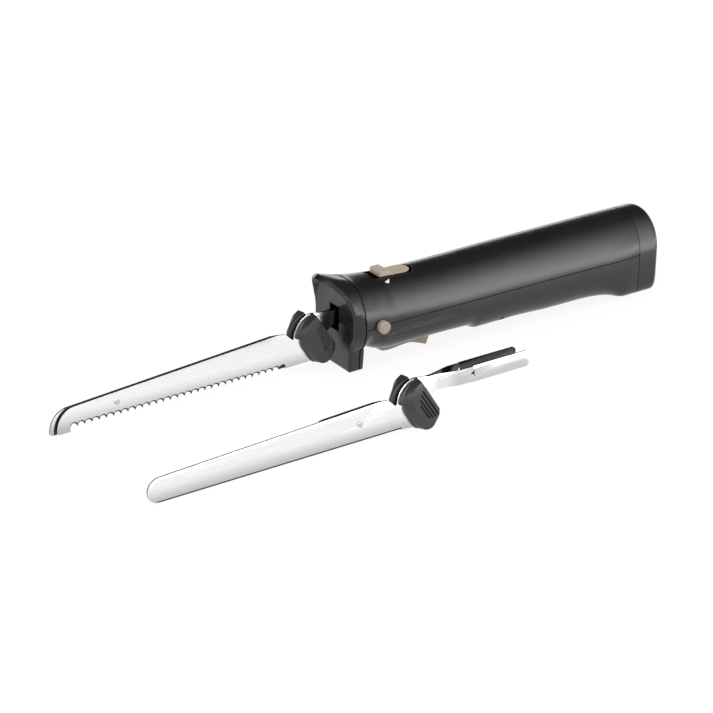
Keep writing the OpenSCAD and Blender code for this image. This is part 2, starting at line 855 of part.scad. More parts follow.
module rear_cap() {
  color([0.13, 0.13, 0.14])
    difference() {
      union() {
        difference() {
          cap_solid();
          cross_plate(cap_x - over, body_end - wall)
            translate([0, seam_z]) polygon(station_ring(last_station, wall));
          rod_x(0, socket_z, socket_r + fit, body_end - wall - over, body_end + over);
        }
        intersection() {
          both_sides() rod_x(cap_screw_y, cap_screw_z, boss_r, cap_x, body_end);
          cap_solid();
        }
      }
      both_sides() {
        rod_x(cap_screw_y, cap_screw_z, screw_r + head_gap, cap_x - over, body_end);
        rod_x(cap_screw_y, cap_screw_z, head_r + head_gap, body_end - cap_screw_seat, body_end + over);
      }
    }
}

module cap_solid() {
  loft(concat(
    [cap_ring(cap_x, 0)],
    [for (k = [0:cap_steps])
      let (a = 90 * k / cap_steps)
      cap_ring(body_end - cap_round * (1 - sin(a)), cap_round * (1 - cos(a)))]
  ));
}

module screw_z(z_head, z_end) {
  rod_z(0, 0, screw_r, z_head, z_end);
  rod_z(0, 0, head_r, z_head - head_t, z_head);
}

module shell_screws() {
  color([0.55, 0.56, 0.58])
    at_shell_screws() screw_z(shell_screw_z - fit, shell_screw_top);
}

module cap_screws() {
  seat = body_end - cap_screw_seat + fit;
  color([0.55, 0.56, 0.58])
    both_sides() {
      rod_x(cap_screw_y, cap_screw_z, screw_r, cap_x - screw_in, seat);
      rod_x(cap_screw_y, cap_screw_z, head_r, seat, seat + head_t);
    }
}

// Controls

module slider_plan() {
  translate([slider_x1 - slider_half_w, 0]) circle(r = slider_half_w);
  translate([slider_x0 + slider_front_r, -slider_half_w])
    square([slider_x1 - slider_half_w - slider_x0 - slider_front_r, 2 * slider_half_w]);
  translate([slider_x0, slider_front_r - slider_half_w])
    square([2 * slider_front_r, 2 * (slider_half_w - slider_front_r)]);
  for (s = [-1, 1])
    translate([slider_x0 + slider_front_r, s * (slider_half_w - slider_front_r)])
      circle(r = slider_front_r);
}

module safety_slider() {
  block_z = slider_low_z + slider_block_h;
  color([0.69, 0.635, 0.56]) {
    intersection() {
      translate([0, 0, seat_z - slider_base_t]) linear_extrude(handle_rise) slider_plan();
      side_plate(-slider_half_w - over, slider_half_w + over)
        polygon([
          [slider_x0 - over, seat_z - slider_base_t],
          [slider_x0 - over, block_z - 2 * slider_edge],
          [slider_x0 + slider_edge, block_z],
          [slider_x0 + slider_block_l, block_z],
          [slider_x0 + slider_block_l + slider_ramp, slider_low_z],
          [slider_x1 + over, slider_low_z - slider_fall],
          [slider_x1 + over, seat_z - slider_base_t]
        ]);
    }
    block(slider_x0 + slider_front_r, slider_x1 + slider_front_r, -slider_base_half_w,
      slider_base_half_w, seat_z - slider_base_t, seat_z);
  }
}

module slider_lock_bar() {
  x1 = lock_x0 + lock_len;
  color([0.8, 0.8, 0.78]) {
    block(lock_x0, x1, -lock_neck_half_w, lock_neck_half_w, lock_top, seat_z - slider_base_t - fit);
    block(lock_x0, x1, -lock_half_w, lock_half_w, lock_top - lock_t, lock_top);
    both_sides() {
      block(lock_x0, x1, lock_half_w - lock_t, lock_half_w, lock_toe_z, lock_top);
      block(lock_x0, x1, lock_toe_in, lock_half_w, lock_toe_z, lock_toe_z + lock_t);
    }
  }
}

// Leaf that clicks under the lock bar
module slider_detent() {
  mid = (detent_x0 + detent_x1) / 2;
  color([0.75, 0.75, 0.76])
    side_plate(-detent_half_w, detent_half_w)
      polygon([
        [detent_x0, cover_z1], [detent_x0 + detent_foot, cover_z1],
        [mid, cover_z1 + detent_rise - detent_t], [detent_x1 - detent_foot, cover_z1], [detent_x1, cover_z1], [detent_x1, cover_z1 + detent_t],
        [mid, cover_z1 + detent_rise], [detent_x0, cover_z1 + detent_t]
      ]);
}

module trigger() {
  color([0.69, 0.635, 0.56])
    difference() {
      union() {
        side_plate(-trigger_half_w, trigger_half_w)
          polygon(concat(
            [for (s = finger_shares) [trigger_x + s[0] * trigger_len, trigger_z + s[1] * trigger_drop]],
            [[trigger_x, trigger_z]]
          ));
        rod_y(trigger_x, trigger_z, hub_r, -trigger_half_w, trigger_half_w);
        block(plunger_x - rib_half_l, plunger_x + rib_half_l, -rib_half_w, rib_half_w,
          trigger_z - over, plunger_z0 - rib_gap);
      }
      rod_y(trigger_x, trigger_z, trigger_pin_r + run, -trigger_half_w - over, trigger_half_w + over);
    }
}

module trigger_pin() {
  color([0.7, 0.71, 0.73]) rod_y(trigger_x, trigger_z, trigger_pin_r, -pin_half, pin_half);
}

module trigger_spring() {
  color([0.7, 0.71, 0.73])
    translate([trigger_x + trigger_spring_x, 0, 0])
      coil(spring_r, spring_wire, trigger_z + fit, floor_z0 - fit, spring_turns);
}

module release_button() {
  rod_y(button_x, seam_z, button_r, -button_face, -collar_out + fit);
  rod_y(button_x, seam_z, collar_r, -collar_out, -collar_in);
  rod_y(button_x, seam_z, stem_r, -collar_in - fit, -stem_end);
}

module release_button_left() {
  color([0.69, 0.635, 0.56]) release_button();
}

module release_button_right() {
  color([0.69, 0.635, 0.56]) mirror([0, 1, 0]) release_button();
}

module button_spring() {
  translate([button_x, 0, seam_z])
    rotate([90, 0, 0])
      coil(button_spring_r, spring_wire, frame_y1 + fit, collar_in - button_travel - slide,
        button_spring_turns);
}

module button_spring_left() {
  color([0.7, 0.71, 0.73]) button_spring();
}

module button_spring_right() {
  color([0.7, 0.71, 0.73]) mirror([0, 1, 0]) button_spring();
}

// Drive

module frame_side() {
  block(frame_x0, plate_x1, frame_y0, frame_y1, frame_low, cover_z0);
  for (x = frame_screw_x)
    block(x - ear_half_l, x + ear_half_l, frame_y0, frame_screw_y + ear_out, ear_z, ear_z + ear_t);
}

module drive_frame() {
  color([0.75, 0.76, 0.74])
    difference() {
      union() {
        both_sides() frame_side();
        block(frame_x0, block_x1, -frame_y0, frame_y0, floor_z0, floor_z1);
        block(block_x0, block_x1, -frame_y0, frame_y0, worm_z - block_drop, floor_z1);
        block(plate_x0, plate_x1, -frame_y1, frame_y1, plate_low, cover_z0);
      }
      rod_y(button_x, seam_z, stem_r + run, -frame_y1 - over, frame_y1 + over);
      rod_y(wheel_x, wheel_z, axle_r + bush_t + fit, -frame_y1 - over, frame_y1 + over);
      rod_x(0, worm_z, nose_r + fit, plate_x0 - over, plate_x1 + over);
      rod_x(0, worm_z, shaft_r + bush_t + fit, block_x0 - over, block_x1 + over);
      for (s = [-1, 1])
        rod_x(0, worm_z + s * motor_screw_z, screw_r + fit, plate_x0 - over, plate_x1 + over);
      both_sides() {
        for (x = frame_screw_x)
          rod_z(x, frame_screw_y, screw_r + head_gap, ear_z - over, ear_z + ear_t + over);
        for (x = cover_screw_x)
          rod_z(x, cover_screw_y, small_screw_r + fit, cover_z0 - screw_in, cover_z0 + over);
      }
    }
}

module frame_cover() {
  color([0.75, 0.76, 0.74])
    difference() {
      block(cover_x0, cover_x1, -frame_y1, frame_y1, cover_z0, cover_z1);
      both_sides()
        for (x = cover_screw_x)
          rod_z(x, cover_screw_y, small_screw_r + head_gap, cover_z0 - over, cover_z1 + over);
    }
}

module frame_screws() {
  color([0.55, 0.56, 0.58])
    both_sides()
      for (x = frame_screw_x)
        translate([x, frame_screw_y, 0]) {
          rod_z(0, 0, screw_r, ear_z - screw_in, ear_z + ear_t + fit);
          rod_z(0, 0, head_r, ear_z + ear_t + fit, ear_z + ear_t + head_t);
        }
}

module cover_screws() {
  color([0.55, 0.56, 0.58])
    both_sides()
      for (x = cover_screw_x)
        translate([x, cover_screw_y, 0]) {
          rod_z(0, 0, small_screw_r, cover_z0 - screw_in + over, cover_z1 + fit);
          rod_z(0, 0, small_head_r, cover_z1 + fit, cover_z1 + small_head_t);
        }
}

// Channel for a tang, with the yoke that an eccentric disc moves
module carrier() {
  difference() {
    union() {
      block(carrier_x0, yoke_x, -carrier_out, -carrier_in, carrier_z0, carrier_z1);
      block(yoke_x - yoke_half_l, yoke_x + yoke_half_l, -carrier_out, -carrier_in,
        wheel_z - yoke_half_h, wheel_z + yoke_half_h);
      for (z = [carrier_z0, carrier_z1 - lip_t])
        block(carrier_x0, cover_x1, -carrier_in - fit, -lip_in, z, z + lip_t);
    }
    block(yoke_x - disc_r - yoke_play, yoke_x + disc_r + yoke_play, -carrier_out - over,
      -carrier_in + over, wheel_z - window_half_h, wheel_z + window_half_h);
    stem_window();
  }
}

// Slot that the release button's stem reaches through, over the whole stroke
module stem_window() {
  r = stem_r + stem_slot_gap;
  for (x = [button_x, button_x + stroke])
    rod_y(x, seam_z, r, -carrier_out - over, -carrier_in + over);
  block(button_x, button_x + stroke, -carrier_out - over, -carrier_in + over, seam_z - r, seam_z + r);
}

module carrier_left() {
  color([0.85, 0.85, 0.82]) carrier();
}

module carrier_right() {
  color([0.85, 0.85, 0.82]) right_hand() carrier();
}

module worm_wheel() {
  root = wheel_r - thread_h;
  color([0.9, 0.88, 0.8])
    difference() {
      translate([wheel_x, 0, wheel_z])
        side_plate(-wheel_half_w, wheel_half_w)
          polygon([
            for (k = [0:wheel_teeth - 1]) for (c = tooth_shares)
              let (a = 360 * (k + c[0]) / wheel_teeth, r = root + thread_h * c[1])
              [r * cos(a), r * sin(a)]
          ]);
      rod_y(wheel_x, wheel_z, axle_r + fit, -wheel_half_w - over, wheel_half_w + over);
    }
}

// Disc round x, fixed to the axle beside the worm wheel
module eccentric(x) {
  color([0.7, 0.71, 0.73])
    difference() {
      rod_y(x, wheel_z, disc_r, -frame_y0 + slide, -wheel_half_w - fit);
      rod_y(wheel_x, wheel_z, axle_r + fit, -frame_y0, -wheel_half_w + over);
    }
}

module eccentric_left() {
  eccentric(wheel_x + stroke / 2);
}

module eccentric_right() {
  mirror([0, 1, 0]) eccentric(wheel_x - stroke / 2);
}

module wheel_axle() {
  color([0.7, 0.71, 0.73]) rod_y(wheel_x, wheel_z, axle_r, -axle_half, axle_half);
}

module axle_bushes() {
  color([0.78, 0.62, 0.35])
    both_sides()
      difference() {
        union() {
          rod_y(wheel_x, wheel_z, axle_r + bush_t, -frame_y1, -frame_y0);
          rod_y(wheel_x, wheel_z, bush_flange_r, -frame_y1 - bush_flange_t, -frame_y1 - fit);
        }
        rod_y(wheel_x, wheel_z, axle_r + run, -frame_y1 - over, -frame_y0 + over);
      }
}

// Worm: its radius rises and falls along the thread
module worm() {
  x0 = wheel_x - worm_len / 2;
  pitch = 2 * PI * (wheel_r - thread_h / 2) / wheel_teeth;
  rings = [
    for (i = [0:worm_rings])
      let (dx = worm_len * i / worm_rings)
      [for (j = [0:worm_sides - 1])
        let (
          a = 360 * j / worm_sides,
          wave = cos(worm_starts * a - 360 * dx / pitch),
          lift = min(1, max(0, thread_mid_share + thread_crest_share * wave)),
          r = worm_r - thread_h * (1 - lift)
        )
        [x0 + dx, r * cos(a), worm_z + r * sin(a)]]
  ];
  color([0.72, 0.72, 0.74])
    difference() {
      loft(rings);
      rod_x(0, worm_z, shaft_r + fit, x0 - over, x0 + worm_len + over);
    }
}

module worm_bush() {
  color([0.78, 0.62, 0.35])
    difference() {
      rod_x(0, worm_z, shaft_r + bush_t, block_x0, block_x1);
      rod_x(0, worm_z, shaft_r + run, block_x0 - over, block_x1 + over);
    }
}

// Motor

module motor_can() {
  color([0.66, 0.67, 0.69])
    difference() {
      union() {
        rod_x(0, worm_z, motor_r, motor_x0, motor_x1);
        rod_x(0, worm_z, nose_r, motor_x0 - nose_l, motor_x0 + can_t);
      }
      rod_x(0, worm_z, motor_r - can_t - magnet_t, motor_x0 + can_t, motor_x1 + over);
      rod_x(0, worm_z, shaft_r + run, motor_x0 - nose_l - over, motor_x0 + can_t + over);
      for (s = [-1, 1])
        rod_x(0, worm_z + s * motor_screw_z, screw_r + fit, motor_x0 - over, motor_x0 + can_t + over);
    }
}

module motor_end_cap() {
  color([0.2, 0.2, 0.22])
    difference() {
      union() {
        rod_x(0, worm_z, motor_r, motor_x1 + fit, end_cap_x1);
        both_sides()
          block(end_cap_x1 - can_t, end_cap_x1 + terminal_l, terminal_y - terminal_w / 2,
            terminal_y + terminal_w / 2, worm_z - terminal_t / 2, worm_z + terminal_t / 2);
      }
      rod_x(0, worm_z, shaft_r + run, motor_x1 - over, end_cap_x1 + over);
    }
}

module motor_rotor() {
  x0 = motor_x0 + armature_x0;
  x1 = motor_x1 - armature_x1;
  r = motor_r - can_t - magnet_t - ctl_gap;
  color([0.7, 0.5, 0.36]) {
    rod_x(0, worm_z, shaft_r, block_x0, end_cap_x1);
    rod_x(0, worm_z, commutator_r, x1 - fit, x1 + commutator_l);
    difference() {
      rod_x(0, worm_z, r, x0, x1);
      for (k = [0:rotor_poles - 1])
        translate([0, 0, worm_z])
          rotate([360 * k / rotor_poles, 0, 0])
            block(x0 - over, x1 + over, -pole_slot / 2, pole_slot / 2, r - pole_depth, r + over);
    }
  }
}

module motor_screws() {
  color([0.55, 0.56, 0.58])
    for (s = [-1, 1]) {
      rod_x(0, worm_z + s * motor_screw_z, screw_r, plate_x0 - fit, motor_x0 + can_t + over);
      rod_x(0, worm_z + s * motor_screw_z, head_r, plate_x0 - motor_head_t, plate_x0 - fit);
    }
}

// Switch, battery and board

module micro_switch() {
  color([0.16, 0.16, 0.18])
    difference() {
      union() {
        block(switch_x0, switch_x1, -switch_half_w, switch_half_w, switch_z0, switch_z1);
        block(switch_x1 - fit, switch_x1 + terminal_l, -terminal_w / 2, terminal_w / 2,
          switch_mid - terminal_t / 2, switch_mid + terminal_t / 2);
      }
      rod_z(plunger_x, 0, plunger_r + slide, switch_z0 - over, switch_z0 + plunger_in + plunger_run);
    }
}

module switch_plunger() {
  color([0.85, 0.3, 0.25]) rod_z(plunger_x, 0, plunger_r, plunger_z0, switch_z0 + plunger_in);
}

module battery_cells() {
  color([0.2, 0.42, 0.62]) both_sides() rod_x(cell_y, cell_z, cell_r, cell_x0, cell_x1);
}

module battery_holder() {
  color([0.3, 0.3, 0.32])
    difference() {
      union() {
        block(holder_x0, holder_x1, -holder_half_w, holder_half_w, holder_low, holder_bed);
        for (x = [holder_x0, holder_x1 - holder_t])
          block(x, x + holder_t, -holder_half_w, holder_half_w, holder_low, holder_top);
      }
      both_sides() rod_x(cell_y, cell_z, cell_r + slide, holder_x0 + holder_t, holder_x1 - holder_t);
    }
}

module battery_tabs() {
  half_w = cell_y + tab_half_h;
  color([0.78, 0.77, 0.72])
    for (x = [holder_x0 + holder_t + fit, cell_x1 + fit])
      block(x, x + tab_t, -half_w, half_w, cell_z - tab_half_h, cell_z + tab_half_h);
}

module control_board() {
  top = board_z + board_t;
  color([0.12, 0.4, 0.24]) {
    block(board_x0, board_x0 + board_l, -board_half_w, board_half_w, board_z, top);
    for (s = chip_shares)
      translate([board_x0 + s[0] * board_l, s[1] * board_half_w, top - fit])
        cube([chip_l, chip_l, chip_t]);
  }
}

module charging_socket() {
  x1 = body_end - socket_set;
  color([0.12, 0.12, 0.13]) {
    difference() {
      rod_x(0, socket_z, socket_r, socket_x0, x1);
      rod_x(0, socket_z, socket_bore_r, x1 - socket_depth, x1 + over);
    }
    rod_x(0, socket_z, socket_pin_r, x1 - socket_depth - over, x1 - over);
  }
}

module wiring() {
  top = board_z + board_t + wire_r + fit;
  under = board_z - wire_r - fit;
  motor_tab = end_cap_x1 + terminal_l / 2;
  rear = cap_x + wire_bend;
  color([0.6, 0.12, 0.1]) {
    both_sides() {
      wire_run([
        [motor_tab, terminal_y, worm_z + terminal_t], [motor_tab, terminal_y, top],
        [board_x0 + wire_bend, terminal_y, top]
      ]);
      wire_run([
        [board_x0 + board_l - wire_bend, wire_bend, top], [rear, wire_bend, top],
        [rear, wire_bend, socket_z], [socket_x0 - fit, wire_bend, socket_z]
      ]);
    }
    wire_run([
      [board_x0 + wire_r, board_half_w - over, under], [board_x0 + wire_r, wire_side_y, under],
      [switch_wire_x, wire_side_y, under], [switch_wire_x, wire_side_y, switch_mid],
      [switch_wire_x, 0, switch_mid]
    ]);
  }
}

// Blades

function grip_point(s) = [-grip_rear - s[0] * grip_len, edge_z + s[1] * grip_h];

// Steel round the grip, from the edge up over the neck to the spine along the high shares
function root_outline(first, high) = concat(
  [for (k = [first:len(root_low_shares) - 1]) grip_point(root_low_shares[k])],
  [[neck_bend0, neck_z0], [neck_bend0, neck_z1], [grip_point(root_top_share)[0], neck_z1]],
  [for (s = high) grip_point(s)]
);

function tip_arc(reach, long, mid, up, a0, a1) = [
  for (k = [0:tip_steps])
    let (a = a0 + (a1 - a0) * k / tip_steps)
    [-reach + long * (1 - cos(a)), mid + up * sin(a)]
];

module serrated_outline(high) {
  count = floor((blade_len - first_scallop - edge_plain) / tooth_pitch);
  difference() {
    polygon(concat(
      tip_arc(blade_len, tip_len, nose_z, tip_spine_z - nose_z, 90, 0),
      [
        [-blade_len + toe_front, toe_z], [-blade_len + toe_len, toe_z],
        [-blade_len + toe_len, edge_z]
      ],
      root_outline(0, high)
    ));
    for (k = [0:count])
      translate([-blade_len + first_scallop + k * tooth_pitch, edge_z])
        circle(r = scallop_r, $fn = 24);
  }
}

module smooth_outline(reach, high) {
  root = grip_point(high[len(high) - 1]);
  low = edge_z + spare_edge;
  fall = spare_tip_drop * (reach - spare_nose + root[0]) / (spare_len - spare_nose + root[0]);
  top = root[1] - fall;
  polygon(concat(
    tip_arc(reach, spare_nose, (top + low) / 2, (top - low) / 2, 90, -90),
    [[-grip_rear - grip_len, low]],
    root_outline(1, high)
  ));
}

// Steel of a left blade: the blade that its child outlines, the bent neck and the tang
module blade_steel() {
  mid = blade_in + blade_t / 2;
  half = blade_t / 2;
  side_plate(-blade_out, -blade_in) children();
  difference() {
    union() {
      translate([0, 0, neck_z0])
        linear_extrude(neck_z1 - neck_z0)
          polygon([
            [neck_x0, -mid - half], [neck_bend0, -mid - half], [neck_bend1, -tang_y - half],
            [tang_x + over, -tang_y - half], [tang_x + over, -tang_y + half],
            [neck_bend1, -tang_y + half], [neck_bend0, -mid + half], [neck_x0, -mid + half]
          ]);
      side_plate(-tang_out, -tang_in) tang_outline();
    }
    side_plate(-tang_out - over, -tang_in + over)
      translate([tang_x + tang_hole_x, tang_z + tang_hole_z])
        polygon([
          [-tang_hole_l / 2, 0], [tang_hole_l / 2, -tang_hole_h / 2], [tang_hole_l / 2, tang_hole_h / 2]
        ]);
  }
}

module tang_outline() {
  x1 = tang_x + tang_len;
  z1 = tang_z + tang_h;
  polygon([
    [tang_x, tang_z], [x1 - tang_round, tang_z], [x1 - tang_round, z1],
    [tang_x + tang_chamfer, z1], [tang_x, z1 - tang_chamfer]
  ]);
  for (z = [tang_z + tang_round, z1 - tang_round])
    translate([x1 - tang_round, z]) circle(r = tang_round);
  translate([x1 - 2 * tang_round, tang_z + tang_round])
    square([2 * tang_round, tang_h - 2 * tang_round]);
}

module rivet_hole(x, z) {
  rod_y(x, z, rivet_r + fit, -blade_out - over, over);
}

module rivet_slot(x, z) {
  r = rivet_r + rivet_play;
  for (dx = [-stroke, stroke]) rod_y(x + dx, z, r, -blade_out - over, over);
  block(x - stroke, x + stroke, -blade_out - over, over, z - r, z + r);
}

module rivet(x, z) {
  color([0.7, 0.71, 0.73]) {
    rod_y(x, z, rivet_r, -blade_out - fit - rivet_head_t, blade_out + rivet_play + rivet_head_t);
    rod_y(x, z, rivet_head_r, -blade_out - fit - rivet_head_t, -blade_out - fit);
    rod_y(x, z, rivet_head_r, blade_out + rivet_play, blade_out + rivet_play + rivet_head_t);
  }
}

module serrated_blade_left() {
  color([0.86, 0.87, 0.88])
    difference() {
      blade_steel() serrated_outline(left_root_shares);
      rivet_hole(rivet_x, rivet_z);
    }
}

module serrated_blade_right() {
  color([0.86, 0.87, 0.88])
    right_hand()
      difference() {
        blade_steel() serrated_outline(right_root_shares);
        rivet_slot(rivet_x, rivet_z);
      }
}

// Grip of a left blade: a flange against the steel, then the raised body
function grip_ring(y, u) = [
  for (s = grip_shares)
    let (a = grip_point([s[0], s[1]]), b = grip_point([s[2], s[3]]), p = a + (b - a) * u)
    [p[0], -y, p[1]]
];

module grip() {
  step = grip_in + flange_t;
  loft([
    grip_ring(grip_in, 0), grip_ring(step, 0), grip_ring(step + slide, grip_step_share),
    grip_ring(grip_out - grip_edge, grip_edge_share), grip_ring(grip_out, 1)
  ]);
}

module grooved_grip() {
  difference() {
    grip();
    side_plate(-grip_out - over, -grip_out + groove_depth)
      for (s = groove_shares) {
        a = grip_point([s[0], s[1]]);
        b = grip_point([s[2], s[3]]);
        n = [a[1] - b[1], b[0] - a[0]] * groove_w / (2 * norm(b - a));
        polygon([a + n, b + n, b - n, a - n]);
      }
  }
}

module blade_grip_left() {
  color([0.15, 0.15, 0.16]) grip();
}

module blade_grip_right() {
  color([0.15, 0.15, 0.16]) right_hand() grip();
}

module blade_rivet() {
  rivet(rivet_x, rivet_z);
}

module spare_blade_long() {
  color([0.86, 0.87, 0.88])
    translate(spare_at)
      difference() {
        blade_steel() smooth_outline(spare_len, left_root_shares);
        rivet_hole(spare_rivet_x, spare_rivet_z);
      }
}

module spare_blade_short() {
  color([0.86, 0.87, 0.88])
    translate(spare_at)
      right_hand()
        difference() {
          blade_steel() smooth_outline(spare_short_len, right_root_shares);
          rivet_slot(spare_rivet_x, spare_rivet_z);
        }
}

module spare_grip_long() {
  color([0.15, 0.15, 0.16]) translate(spare_at) grooved_grip();
}

module spare_grip_short() {
  color([0.15, 0.15, 0.16]) translate(spare_at) right_hand() grooved_grip();
}

module spare_rivet() {
  translate(spare_at) rivet(spare_rivet_x, spare_rivet_z);
}

front_guard();
top_shell();
bottom_shell();
rear_cap();
shell_screws();
cap_screws();
safety_slider();
slider_lock_bar();
slider_detent();
trigger();
trigger_pin();
trigger_spring();
release_button_left();
release_button_right();
button_spring_left();
button_spring_right();
drive_frame();
frame_cover();
frame_screws();
cover_screws();
carrier_left();
carrier_right();
worm_wheel();
eccentric_left();
eccentric_right();
wheel_axle();
axle_bushes();
worm();
worm_bush();
motor_can();
motor_end_cap();
motor_rotor();
motor_screws();
micro_switch();
switch_plunger();
battery_cells();
battery_holder();
battery_tabs();
control_board();
charging_socket();
wiring();
serrated_blade_left();
serrated_blade_right();
blade_grip_left();
blade_grip_right();
blade_rivet();
spare_blade_long();
spare_blade_short();
spare_grip_long();
spare_grip_short();
spare_rivet();
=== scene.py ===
"""Looks of the cordless electric carving knife and its spare blades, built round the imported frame."""

import json
import math

import bmesh
import bpy
import numpy as np
from mathutils import Matrix, Vector


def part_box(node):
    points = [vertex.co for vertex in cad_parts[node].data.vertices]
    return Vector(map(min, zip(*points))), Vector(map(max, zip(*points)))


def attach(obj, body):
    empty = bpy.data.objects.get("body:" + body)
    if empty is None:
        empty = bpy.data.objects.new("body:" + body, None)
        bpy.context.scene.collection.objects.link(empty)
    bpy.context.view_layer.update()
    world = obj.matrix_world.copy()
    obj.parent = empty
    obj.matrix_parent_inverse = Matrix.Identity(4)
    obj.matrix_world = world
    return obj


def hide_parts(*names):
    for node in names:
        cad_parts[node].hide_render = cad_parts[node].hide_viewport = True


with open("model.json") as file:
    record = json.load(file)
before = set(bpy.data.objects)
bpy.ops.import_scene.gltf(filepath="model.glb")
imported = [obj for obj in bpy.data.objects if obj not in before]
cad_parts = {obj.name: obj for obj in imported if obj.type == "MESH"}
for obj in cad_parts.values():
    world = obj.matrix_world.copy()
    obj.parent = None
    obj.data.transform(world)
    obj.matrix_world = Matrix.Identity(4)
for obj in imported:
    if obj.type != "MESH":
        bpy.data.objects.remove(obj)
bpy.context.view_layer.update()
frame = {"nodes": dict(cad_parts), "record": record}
nodes = frame["nodes"]

MM = 0.001

# Sizes of the handle, in millimetres, as in the frame
HALF_W = 25.0
SEAM_Z = 32.0
RISE = 26.0
WALL = 2.2
GUARD_DEPTH = 8.0
CAP_LEN = 19.0
CAP_ROUND = 5.0
GUARD_HALF_W = 26.2
GUARD_H = 68.8
HOOD_LEN = 12.0
PANEL_T = 2.6
SEAM_CUT = 0.38
JOINT_CUT = 0.8

BODY_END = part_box("rear_cap")[1].x / MM
CAP_X = BODY_END - CAP_LEN
SHELL_LEN = CAP_X - GUARD_DEPTH

# Handle's sections: place along the shells, half-width, rise, its exponent, drop, its exponent
STATION_SHARES = [
    (0, 1.072, 1.155, 2.5, 0.844, 1.9),
    (0.0125, 1.056, 1.12, 2.5, 0.6875, 2),
    (0.025, 1.04, 1.1, 2.5, 0.5625, 2),
    (0.05, 1.016, 1.076, 2.4, 0.656, 2.4),
    (0.079, 1, 1.058, 2.3, 0.719, 2.8),
    (0.1125, 0.984, 1.043, 2.15, 0.734, 3),
    (0.208, 0.976, 1.004, 2.15, 0.734, 3),
    (0.383, 0.976, 1.012, 2.17, 0.759, 3),
    (0.417, 0.976, 1.021, 2.18, 0.859, 3.1),
    (0.55, 0.983, 1.037, 2.19, 0.852, 3.1),
    (0.68, 0.99, 1.05, 2.17, 0.889, 3.1),
    (0.78, 0.995, 1.061, 2.14, 0.894, 3.1),
    (0.83, 1.004, 1.066, 2.12, 0.883, 3.4),
    (0.87, 1.016, 1.07, 2.11, 0.893, 3.8),
    (0.91, 1.024, 1.074, 2.1, 0.929, 4.6),
    (0.955, 1.016, 1.077, 2.08, 1, 7),
    (1, 0.98, 1.08, 2.07, 1, 8),
]

# Guard's rim from the foot's lower corner to the hood's peak. Outer edge: across, up and forward.
# Front edge: the same. Inner edge on the panel: across and up.
RIM_SHARES = [
    (0.641, 0, -0.083, 0.565, 0.022, 0, 0.54, 0.03),
    (0.679, 0.015, -0.167, 0.603, 0.03, 0, 0.58, 0.04),
    (0.718, 0.131, -0.167, 0.641, 0.131, 0, 0.615, 0.131),
    (0.744, 0.233, -0.167, 0.668, 0.233, 0, 0.64, 0.233),
    (0.821, 0.305, -0.133, 0.737, 0.31, 0, 0.71, 0.315),
    (0.947, 0.392, -0.1, 0.855, 0.395, 0, 0.82, 0.395),
    (0.972, 0.494, -0.125, 0.874, 0.494, 0, 0.84, 0.494),
    (0.996, 0.581, -0.108, 0.889, 0.581, 0, 0.85, 0.581),
    (0.996, 0.625, -0.083, 0.9, 0.625, 0.042, 0.85, 0.62),
    (0.985, 0.669, -0.025, 0.889, 0.667, 0.1, 0.835, 0.66),
    (0.947, 0.756, 0.125, 0.828, 0.75, 0.258, 0.76, 0.74),
    (0.9, 0.799, 0.217, 0.786, 0.792, 0.358, 0.71, 0.78),
    (0.821, 0.843, 0.292, 0.71, 0.835, 0.475, 0.63, 0.82),
    (0.679, 0.887, 0.375, 0.573, 0.878, 0.642, 0.49, 0.86),
    (0.462, 0.932, 0.567, 0.366, 0.922, 0.875, 0.3, 0.9),
    (0.237, 0.975, 0.833, 0.17, 0.955, 1.15, 0.14, 0.93),
    (0, 1, 1, 0, 0.968, 1.275, 0, 0.94),
]
FOOT_ROWS = 4
SEAM_ANGLES = [-25, -12, 0, 12, 18, 24, 40, 50, 62, 72, 79, 85, 90]

# Grip outline: inner contour forward and up, outer contour forward and up
GRIP_LEN = 24.5
GRIP_H = 35.6
GRIP_REAR = 4.7
EDGE_Z = 7.8
GRIP_IN = 1.18
GRIP_OUT = 8.5
FLANGE_T = 2.2
GRIP_SHARES = [
    (0, 0.351, 0, 0.351), (0.563, 1, 0.576, 0.983), (0.64, 0.962, 0.62, 0.965),
    (0.73, 0.952, 0.68, 0.938), (0.896, 0.878, 0.751, 0.902), (1.027, 0.77, 0.815, 0.825),
    (1.093, 0.666, 0.842, 0.75), (1.115, 0.56, 0.845, 0.68), (0.975, 0.53, 0.838, 0.62),
    (0.943, 0.36, 0.78, 0.486), (0.796, 0.191, 0.686, 0.295),
    (0.624, 0.02, 0.539, 0.065), (0.388, 0, 0.388, 0), (0.212, 0.022, 0.212, 0.022),
    (0.09, 0.129, 0.09, 0.129), (0, 0.239, 0, 0.239),
]
# Trigger: place of its pin, sizes of the lever, radius of the hub, and the lower outline from the pin
# to the rear, forward and up
TRIGGER_X = 31
TRIGGER_Z = 12
TRIGGER_HALF_W = 9
TRIGGER_LEN = 41
TRIGGER_DROP = 11
HUB_R = 3
FINGER_SHARES = [
    (-0.056, -0.373), (0.066, -0.627), (0.239, -0.664), (0.439, -0.591), (0.629, -0.582), (0.788, -0.773),
    (0.946, -1), (1, -0.482), (1, 0),
]
# Row of the grip's table at the lower front end of the flange
FLANGE_END = 7
# Ends of each groove on a spare grip, forward and up
GROOVE_SHARES = [
    (0.057, 0.267, 0.543, 0.784), (0.135, 0.233, 0.588, 0.716),
    (0.224, 0.222, 0.616, 0.626), (0.327, 0.228, 0.604, 0.511),
]
GROOVE_HALF_W = 0.58
PIT_R = 0.5
# Depth of the grooves and pits
GROOVE_T = 0.5
# Stroke of the blades, and place of the spare pair against the mounted one
STROKE = 4.4
SPARE_AT = Vector((9.2, -106.9, -7.8))


# Materials

def new_material(name):
    mat = bpy.data.materials.new(name)
    mat.use_nodes = True
    return mat, mat.node_tree, mat.node_tree.nodes["Principled BSDF"]


